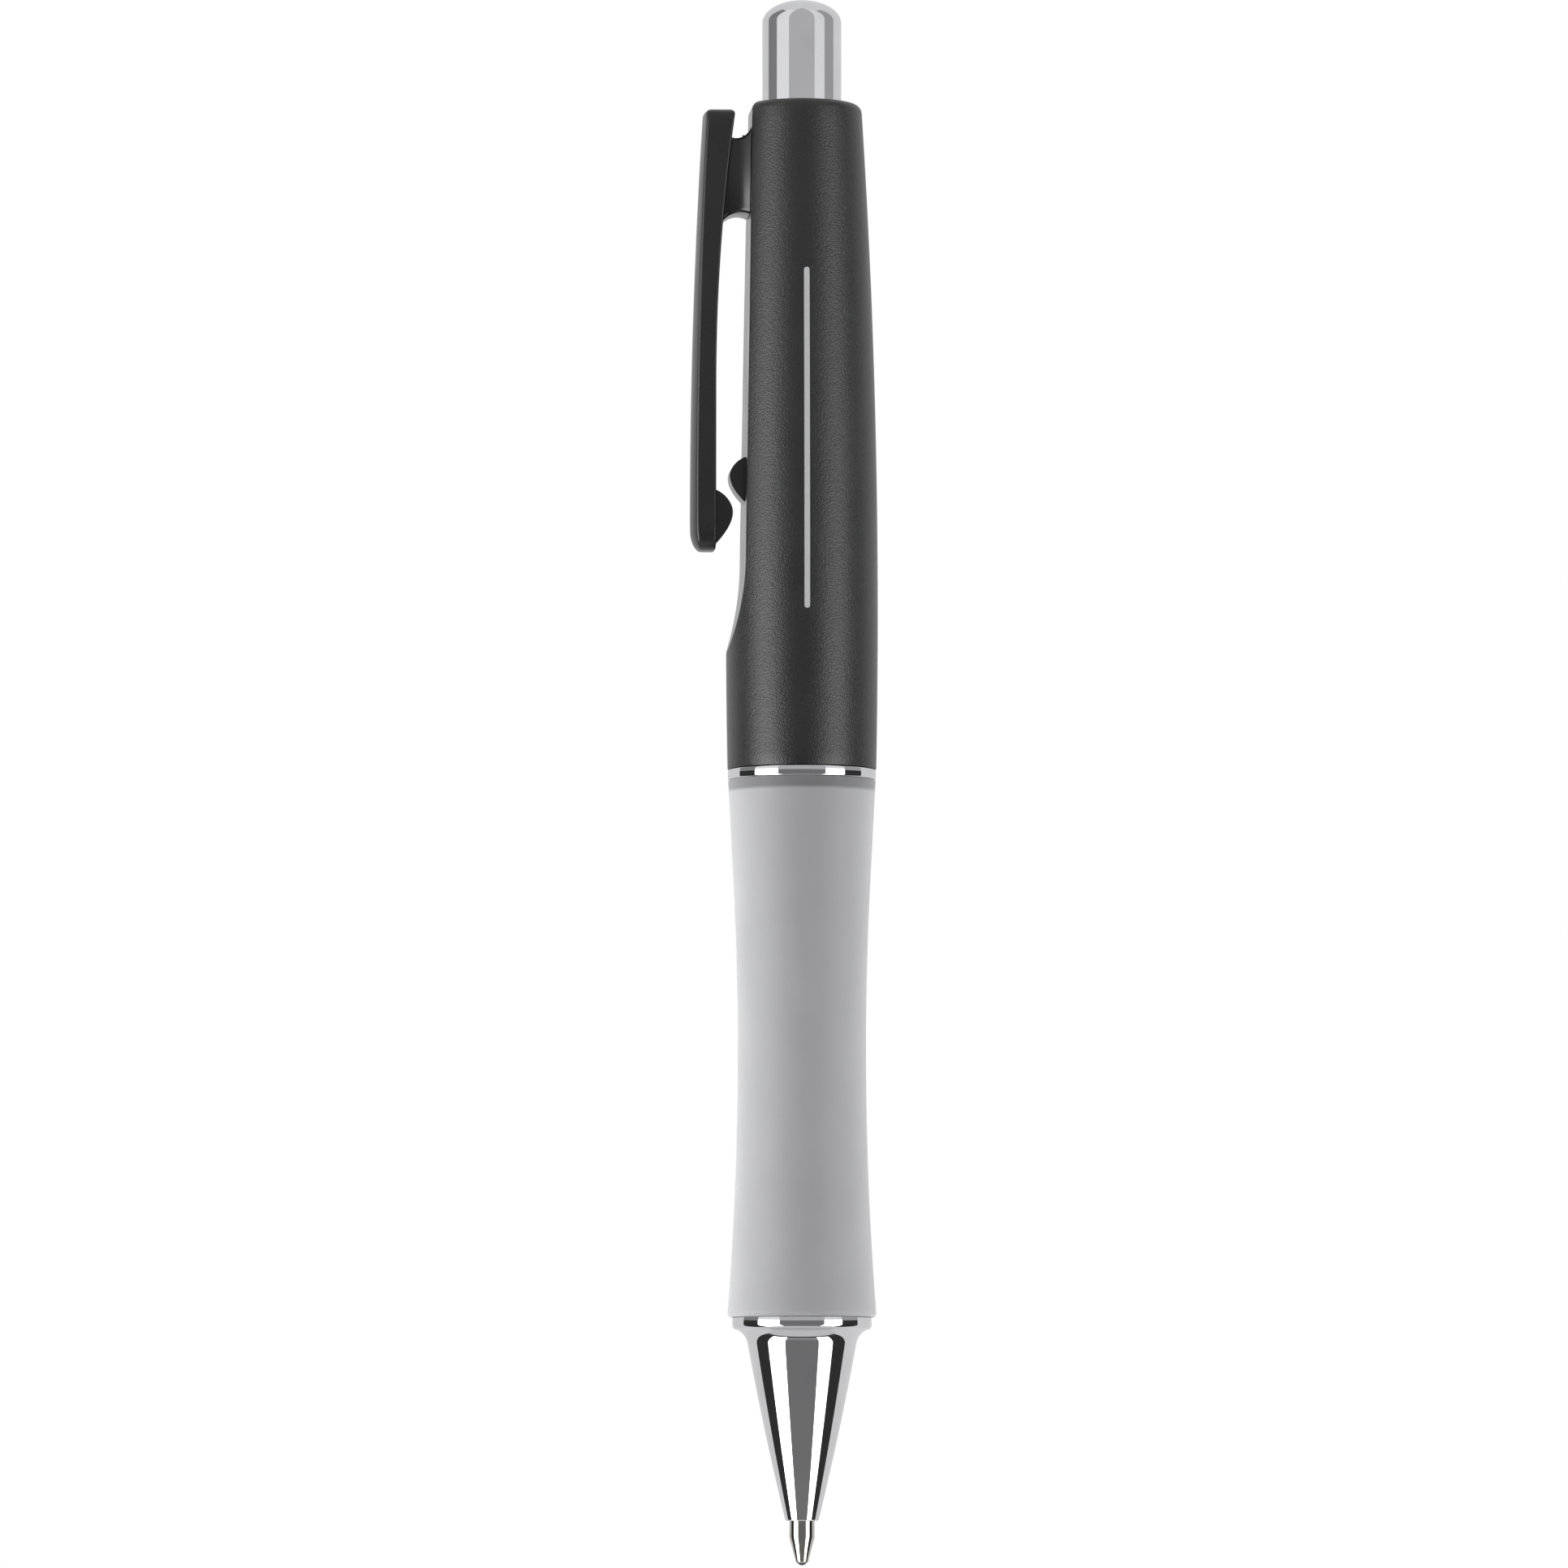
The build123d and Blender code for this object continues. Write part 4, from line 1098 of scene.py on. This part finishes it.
@dataclass
class Button:
    """Plated push button with a domed top and a hidden guide skirt."""

    low: Vector = low_corner("button_cap")
    high: Vector = high_corner("button_cap")
    mouth_z: float = field(default_factory=lambda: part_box("upper_barrel")[1].z / MM)
    radius: float = 3.6
    skirt: float = 3.76
    dome: float = 2.06
    wall: float = 0.5
    edge: float = 0.08
    rises: tuple[float, ...] = (0.0, 0.05, 2.5, 5.0, 7.0, 7.4)  # the side's rings above the mouth
    dome_steps: int = 24
    segments: int = 144

    def outline(self) -> list[Point]:
        """The button's outline, from the underside of its roof round to the top of its dome."""
        shoulder = self.high.z - self.dome
        inside = self.radius - self.wall
        outline = [(0.0, shoulder), (inside, shoulder), (inside, self.low.z),
                   (self.skirt, self.low.z)]
        outline += rounded((self.skirt, self.low.z), (self.skirt, self.mouth_z),
                           (self.radius, self.mouth_z), self.edge, 3)
        outline += [(self.radius, self.mouth_z + rise) for rise in self.rises]
        for step in range(self.dome_steps + 1):
            t = math.pi / 2 * step / self.dome_steps
            outline.append((self.radius * math.cos(t), shoulder + self.dome * math.sin(t)))
        outline[-1] = (0.0, self.high.z)
        return outline

    def build(self) -> None:
        """Builds the button."""
        obj = turn(self.outline(), self.segments, closed=False)
        smooth(obj, CREASE)
        hand_over(obj, "button_cap_plated", "button_cap", "button", [CHROME_PLATE])


@dataclass
class GripSection:
    """Soft waisted sleeve, the plated ring above it and the tube inside."""

    low: Vector = low_corner("grip_sleeve")
    high: Vector = high_corner("grip_sleeve")
    ring_low: Vector = low_corner("barrel_ring")
    ring_high: Vector = high_corner("barrel_ring")
    waist_height: float = 23.78
    waist_radius: float = 5.80
    flare: float = 0.92
    base_round: float = 0.35
    arc_span: float = 13.9
    top_inset: float = 0.03  # of the sleeve's top inside the ring
    top_round: float = 0.08
    bore: float = 4.77
    collar_bore: float = 5.92
    collar_height: float = 1.0
    ring_round: float = 0.15
    ring_bore: float = 5.42
    segments: int = 160

    def sleeve_outline(self) -> list[Point]:
        """The sleeve's outline: up the waisted outside and down the bore."""
        base, top = self.low.z, self.high.z
        base_radius = self.waist_radius + self.flare
        waist_z = base + self.waist_height
        join = (self.waist_radius + self.flare * (self.arc_span / self.waist_height) ** 2,
                waist_z + self.arc_span)
        start = (base_radius, base + self.base_round)
        outline = rounded((0, base), (base_radius, base), start, self.base_round, 6)
        outline[-1] = start
        outline += arc(start, (self.waist_radius, waist_z), join, 44)
        top_radius = self.ring_high.x - self.top_inset
        outline += [(join[0] + (top_radius - join[0]) * share, join[1] + (top - join[1]) * share)
                    for share in (0.25, 0.5, 0.75, 0.96)]
        outline += rounded(join, (top_radius, top), (0, top), self.top_round, 3)
        step_z = top - self.collar_height
        outline += [(self.collar_bore, top), (self.collar_bore, step_z), (self.bore, step_z),
                    (self.bore, base)]
        return outline

    def ring_outline(self) -> list[Point]:
        """The ring's outline, with its outer edges rounded."""
        base, top, outer = self.ring_low.z, self.ring_high.z, self.ring_high.x
        outline = [(self.ring_bore, top), (self.ring_bore, base)]
        outline += rounded((self.ring_bore, base), (outer, base), (outer, top), self.ring_round, 6)
        outline += rounded((outer, base), (outer, top), (self.ring_bore, top), self.ring_round, 6)
        return outline

    def build(self) -> None:
        """Builds the sleeve and the ring, and dresses the tube inside."""
        sleeve = turn(self.sleeve_outline(), self.segments, closed=True)
        smooth(sleeve, CREASE)
        hand_over(sleeve, "grip_sleeve_silicone", "grip_sleeve", "grip_section",
                  [SMOKE_SILICONE])
        ring = turn(self.ring_outline(), self.segments, closed=True)
        smooth(ring, CREASE)
        hand_over(ring, "barrel_ring_plated", "barrel_ring", "trim_ring", [CHROME_PLATE])
        dress_node("lower_barrel", GREY_POLYSTYRENE)


@dataclass
class NoseCone:
    """Turned and plated nose with a hollow neck, a flange and its bores."""

    low: Vector = low_corner("nose_cone")
    high: Vector = high_corner("nose_cone")
    grip_base: float = 22.3
    mouth_radius: float = 1.50
    mouth_bore: float = 1.22
    mouth_length: float = 2.55
    mouth_round: float = 0.08
    mouth_flare: float = 0.01
    chamber_bore: float = 1.75
    chamber_length: float = 4.0
    spring_bore: float = 2.45
    cone_height: float = 16.0
    cone_top: float = 4.92
    bulge: float = 0.12
    flange_height: float = 1.1
    flange_round: float = 0.4
    lip_round: float = 0.06
    shank: float = 3.90
    shank_chamfer: float = 0.2
    segments: int = 160

    def outline(self) -> list[Point]:
        """The nose's outline: up the cone, round the flange, over the shank, down the bores."""
        mouth_z, shank_top, flange = self.low.z, self.high.z, self.high.x
        top = (self.cone_top, mouth_z + self.cone_height)
        middle = ((self.mouth_radius + self.cone_top) / 2 + self.bulge,
                  mouth_z + self.cone_height / 2)
        centre, _ = circle_through((self.mouth_radius, mouth_z), middle, top)
        rise = Vector((-(top[1] - centre[1]), top[0] - centre[0])).normalized()
        flange_base = self.grip_base - self.flange_height
        end = Vector((flange - self.flange_round, flange_base))
        chord = end - Vector(top)
        outward = Vector((rise.y, -rise.x))
        hollow_radius = chord.length_squared / (2 * chord.dot(outward))
        hollow_centre = Vector(top) + outward * hollow_radius
        bisector = (Vector(top) + end) / 2 - hollow_centre
        hollow_middle = hollow_centre + bisector.normalized() * hollow_radius
        outline = [(self.mouth_bore, mouth_z + self.mouth_round),
                   (self.mouth_bore + self.mouth_round, mouth_z),
                   (self.mouth_radius - self.mouth_round, mouth_z)]
        first = (self.mouth_radius + self.mouth_flare, mouth_z + self.mouth_round)
        outline += [first, *arc(first, middle, top, 40)]
        outline += arc(top, tuple(hollow_middle), tuple(end), 14)
        outline += rounded(tuple(end), (flange, flange_base), (flange, self.grip_base),
                           self.flange_round, 8)[1:]
        outline += rounded((flange, flange_base), (flange, self.grip_base),
                           (self.shank, self.grip_base), self.lip_round, 3)
        outline += [(self.shank, self.grip_base), (self.shank, shank_top - self.shank_chamfer),
                    (self.shank - self.shank_chamfer, shank_top), (self.spring_bore, shank_top)]
        chamber_z = mouth_z + self.mouth_length
        seat_z = chamber_z + self.chamber_length
        outline += [(self.spring_bore, seat_z), (self.chamber_bore, seat_z),
                    (self.chamber_bore, chamber_z), (self.mouth_bore, chamber_z)]
        return outline

    def build(self) -> None:
        """Builds the nose."""
        obj = turn(self.outline(), self.segments, closed=True)
        smooth(obj, CREASE)
        hand_over(obj, "nose_cone_plated", "nose_cone", "grip_section", [CHROME_PLATE])


@dataclass
class Refill:
    """Ink refill: metal tip with its ball, holder, tube, ink, follower and tail plug."""

    low: Vector = low_corner("ballpoint_tip")
    high: Vector = high_corner("ballpoint_tip")
    tip_radius: float = 1.14
    tip_length: float = 8.0
    tip_edge: float = 0.08
    shank: float = 0.85
    cone_top: float = 2.5
    crimp: float = 0.62
    crimp_z: float = 0.55
    rim: float = 0.49
    rim_bore: float = 0.45
    rim_roll: Point = (0.045, 0.04)  # how far the rolled rim bulges past a straight cone
    seat: float = 0.53
    seat_low: float = 0.45
    seat_high: float = 0.75
    channel: float = 0.35
    ball: float = 0.5
    ball_steps: int = 32
    segments: int = 96
    crease: float = 12.0

    def tip_outline(self) -> list[Point]:
        """The metal tip's outline, with its rolled rim, shoulder and ink channel."""
        low, high = self.low.z, self.high.z
        roll = (self.crimp - self.rim_roll[0], (low + self.crimp_z) / 2 - self.rim_roll[1])
        outline = [(self.rim_bore, low), (self.rim, low)]
        outline += arc((self.rim, low), roll, (self.crimp, self.crimp_z), 6)
        outline += [(self.crimp + (self.tip_radius - self.crimp) * share,
                     self.crimp_z + (self.cone_top - self.crimp_z) * share)
                    for share in (0.03, 0.3, 0.6, 0.97)]
        outline += [(self.tip_radius, self.cone_top + 0.06)]
        outline += rounded((self.tip_radius, self.cone_top), (self.tip_radius, self.tip_length),
                           (self.shank, self.tip_length), self.tip_edge, 3)
        outline += [(self.shank, self.tip_length), (self.shank, high), (self.channel, high)]
        roof = self.seat_high + self.seat - self.channel
        outline += [(self.channel, roof), (self.seat, self.seat_high), (self.seat, self.seat_low)]
        return outline

    def ball_outline(self) -> list[Point]:
        """Half of the writing ball's outline, from its lowest point to its highest."""
        turns = [-math.pi / 2 + math.pi * step / self.ball_steps
                 for step in range(self.ball_steps + 1)]
        outline = [(self.ball * math.cos(t), self.ball + self.ball * math.sin(t)) for t in turns]
        outline[0], outline[-1] = (0.0, 0.0), (0.0, 2 * self.ball)
        return outline

    def build(self) -> None:
        """Builds the tip and the ball, and dresses the rest of the refill."""
        tip = turn(self.tip_outline(), self.segments, closed=True)
        smooth(tip, self.crease)
        hand_over(tip, "ballpoint_tip_turned", "ballpoint_tip", "refill", [NICKEL_SILVER])
        ball = turn(self.ball_outline(), 2 * self.ball_steps, closed=False)
        smooth(ball, CREASE)
        hand_over(ball, "writing_ball_ground", "writing_ball", "ball", [TUNGSTEN_CARBIDE])
        for node, finish in (("refill_tube", REFILL_POLYPROPYLENE), ("tip_holder", ACETAL),
                             ("tail_plug", ACETAL), ("ink_column", BLACK_INK),
                             ("ink_follower", FOLLOWER_GREASE)):
            dress_node(node, finish)


@dataclass
class ReturnSpring:
    """Compression spring in the nose, with closed ends."""

    low: Vector = low_corner("return_spring")
    high: Vector = high_corner("return_spring")
    wire: float = 0.175
    coil: float = 1.95
    turns: int = 11
    steps: int = 28
    sides: int = 12
    packing: float = 2.1  # height of a closed coil, in half thicknesses of the wire
    crease: float = 40.0

    def close_ends(self, obj: bpy.types.Object) -> None:
        """Packs the first and last coils together and spreads the others evenly.

        Args:
            obj: The spring, wound with an even pitch of one millimetre.
        """
        height = self.high.z - self.low.z - 2 * self.wire
        packed = self.packing * self.wire
        pitch = (height - 2 * packed) / (self.turns - 2)
        for vert in obj.data.vertices:
            angle = math.atan2(vert.co.y, vert.co.x) % math.tau
            wound = vert.co.z / MM
            turned = round(wound - angle / math.tau) + angle / math.tau
            section = wound - turned
            inner = min(max(turned - 1, 0), self.turns - 2)
            ends = min(turned, 1) + max(turned - (self.turns - 1), 0)
            level = packed * ends + pitch * inner
            vert.co.z = (self.low.z + self.wire + level + section) * MM

    def build(self) -> None:
        """Builds the spring, which stretches between the nose's seat and the refill's ears."""
        deselect_all()
        bpy.ops.mesh.primitive_circle_add(vertices=self.sides, radius=self.wire * MM,
                                          location=(self.coil * MM, 0, 0),
                                          rotation=(math.pi / 2, 0, 0), fill_type="NGON")
        obj = bpy.context.object
        bpy.ops.object.transform_apply(location=True, rotation=True, scale=True)
        winding = obj.modifiers.new("winding", "SCREW")
        winding.axis = "Z"
        winding.angle = math.tau
        winding.screw_offset = MM
        winding.iterations = self.turns
        winding.steps = winding.render_steps = self.steps
        bpy.ops.object.modifier_apply(modifier=winding.name)
        self.close_ends(obj)
        bpy.ops.object.mode_set(mode="EDIT")
        close_up(obj)
        smooth(obj, self.crease)
        obj.name = obj.data.name = "return_spring_coiled"
        obj.data.materials.append(SPRING_STEEL.material())
        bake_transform(obj)
        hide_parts("return_spring")
        log.info("piece %s: %d faces", obj.name, len(obj.data.polygons))


@dataclass
class Mechanism:
    """Moulded parts of the push mechanism, kept as CAD made them."""

    nodes: tuple[str, ...] = ("cam_sleeve", "push_cam", "rotor")

    def build(self) -> None:
        """Dresses the mechanism."""
        for node in self.nodes:
            dress_node(node, ACETAL)


# --- Studio ---


@dataclass(frozen=True)
class Panel:
    """An area of the studio's surroundings, in degrees right of the front and above the horizon."""

    left: float
    right: float
    low: float
    high: float
    level: float


@dataclass
class Studio:
    """White surroundings with soft panels and lights, a pale floor and the camera."""

    azimuth: float = -4.0  # degrees, as all angles here
    elevation: float = -4.3
    distance: float = 0.90
    lens: float = 228.0
    sensor: float = 36.0
    near: float = 0.01
    aside: float = 1.62  # how far right of the view's middle the pen's axis is, in millimetres
    aim_height: float = 70.6
    floor_drop: float = 0.055
    floor_size: float = 6.0
    surround: float = 0.72
    panels: tuple[Panel, ...] = (
        Panel(-118, -82, -50, 6, 0.035), Panel(66, 102, -50, 6, 0.035),  # dark flags
        Panel(-118, -82, 6, 60, 0.24), Panel(66, 102, 6, 60, 0.38),
        Panel(-42, 34, -50, 6, 0.19), Panel(-42, 34, 6, 95, 0.50),  # what stands round the camera
        Panel(-42, 34, -46, -33, 0.30),
        Panel(-82, -42, 7, 70, 0.86), Panel(34, 66, 7, 70, 0.80),  # soft boxes, weaker above
        Panel(-82, -42, -48, 7, 5.4), Panel(34, 66, -48, 7, 4.7),
        Panel(-118, 102, -56, -49, 0.05), Panel(-200, 200, -95, -56, 0.62))  # table's edge and top
    blur: float = 0.7  # half the width over which a panel's edge fades
    side_lights: tuple[Point, ...] = ((-92, 5.6), (88, 3.2))  # azimuth and strength
    side_spread: float = 50.0

    def camera(self) -> None:
        """Adds the camera, level across, looking a little up at the pen."""
        turned, raised = math.radians(self.azimuth), math.radians(self.elevation)
        back = Vector((math.sin(turned) * math.cos(raised), -math.cos(turned) * math.cos(raised),
                       math.sin(raised)))
        right = Vector((math.cos(turned), math.sin(turned), 0))
        aim = Vector((0, 0, self.aim_height)) * MM - right * self.aside * MM
        deselect_all()
        bpy.ops.object.camera_add(location=aim + back * self.distance,
                                  rotation=(-back).to_track_quat("-Z", "Y").to_euler())
        camera = bpy.context.object
        camera.name = "studio_camera"
        camera.data.lens = self.lens
        camera.data.sensor_width = self.sensor
        camera.data.clip_start = self.near
        bpy.context.scene.camera = camera

    def window(self, tree: bpy.types.NodeTree, angle: bpy.types.NodeSocket, start: float,
               end: float) -> bpy.types.NodeSocket:
        """Says how far an angle is inside a range, from 0 to 1.

        Args:
            tree: The world's nodes.
            angle: The angle, in degrees.
            start: Where the range starts.
            end: Where the range ends.

        Returns:
            The socket.
        """
        enter, leave = (add_node(tree, "ShaderNodeMapRange",
                                 {"Value": angle, "From Min": limit - blur,
                                  "From Max": limit + blur}).outputs[0]
                        for limit, blur in ((start, self.blur), (end, -self.blur)))
        return maths(tree, "MULTIPLY", enter, leave)

    def walls(self) -> None:
        """Makes the surroundings: white behind the pen, and panels that light it."""
        world = bpy.data.worlds.new("studio")
        world.use_nodes = True
        bpy.context.scene.world = world
        tree = world.node_tree
        tree.nodes.clear()
        direction = add_node(tree, "ShaderNodeTexCoord").outputs["Generated"]
        axes = add_node(tree, "ShaderNodeSeparateXYZ", {0: direction})
        front = maths(tree, "MULTIPLY", axes.outputs["Y"], -1.0)
        azimuth = maths(tree, "DEGREES", maths(tree, "ARCTAN2", axes.outputs["X"], front))
        height = maths(tree, "DEGREES", maths(tree, "ARCSINE", axes.outputs["Z"]))
        level: bpy.types.NodeSocket | float = self.surround
        for panel in self.panels:
            inside = maths(tree, "MULTIPLY", self.window(tree, azimuth, panel.left, panel.right),
                           self.window(tree, height, panel.low, panel.high))
            mixed = add_node(tree, "ShaderNodeMix", {"Factor": inside, "A": level,
                                                     "B": panel.level}, data_type="FLOAT")
            level = mixed.outputs[0]
        lit = add_node(tree, "ShaderNodeBackground", {"Color": (1, 1, 1, 1), "Strength": level})
        white = add_node(tree, "ShaderNodeBackground", {"Color": (1, 1, 1, 1), "Strength": 1.0})
        seen = add_node(tree, "ShaderNodeLightPath").outputs["Is Camera Ray"]
        both = add_node(tree, "ShaderNodeMixShader",
                        {0: seen, 1: lit.outputs[0], 2: white.outputs[0]})
        add_node(tree, "ShaderNodeOutputWorld", {"Surface": both.outputs[0]})

    def sides(self) -> None:
        """Adds a soft light on either side, so diffused that nothing mirrors it."""
        for azimuth, strength in self.side_lights:
            turned = math.radians(azimuth)
            away = Vector((math.sin(turned), -math.cos(turned), 0))
            deselect_all()
            bpy.ops.object.light_add(type="SUN", location=away,
                                     rotation=away.to_track_quat("Z", "Y").to_euler())
            lamp = bpy.context.object
            lamp.name = f"side_light_{'left' if azimuth < 0 else 'right'}"
            lamp.data.energy = strength
            lamp.data.angle = math.radians(self.side_spread)
            lamp.visible_glossy = False

    def floor(self) -> None:
        """Adds the floor, well below the writing tip."""
        deselect_all()
        bpy.ops.mesh.primitive_plane_add(size=self.floor_size, location=(0, 0, -self.floor_drop))
        floor = bpy.context.object
        floor.name = "studio_floor"
        # Painted card: an even pale grey, fully matt.
        card = Finish("floor_card", "", "#F0F0F0", "#F2F2F2", (0.8, 0.9), 400.0, 20.0, 0.001)
        floor.data.materials.append(card.material())
        floor.visible_glossy = False

    def build(self) -> None:
        """Builds the studio."""
        self.camera()
        self.walls()
        self.sides()
        self.floor()
        bpy.context.scene.view_settings.view_transform = "Standard"


def main() -> None:
    """Builds the studio and every sub-assembly."""
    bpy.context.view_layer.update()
    Studio().build()
    barrel = UpperBarrel()
    for part in (barrel, Clip(barrel), Button(), GripSection(), NoseCone(), Refill(),
                 ReturnSpring(), Mechanism()):
        log.info("building %s", type(part).__name__)
        part.build()


if __name__ == "__main__":
    main()
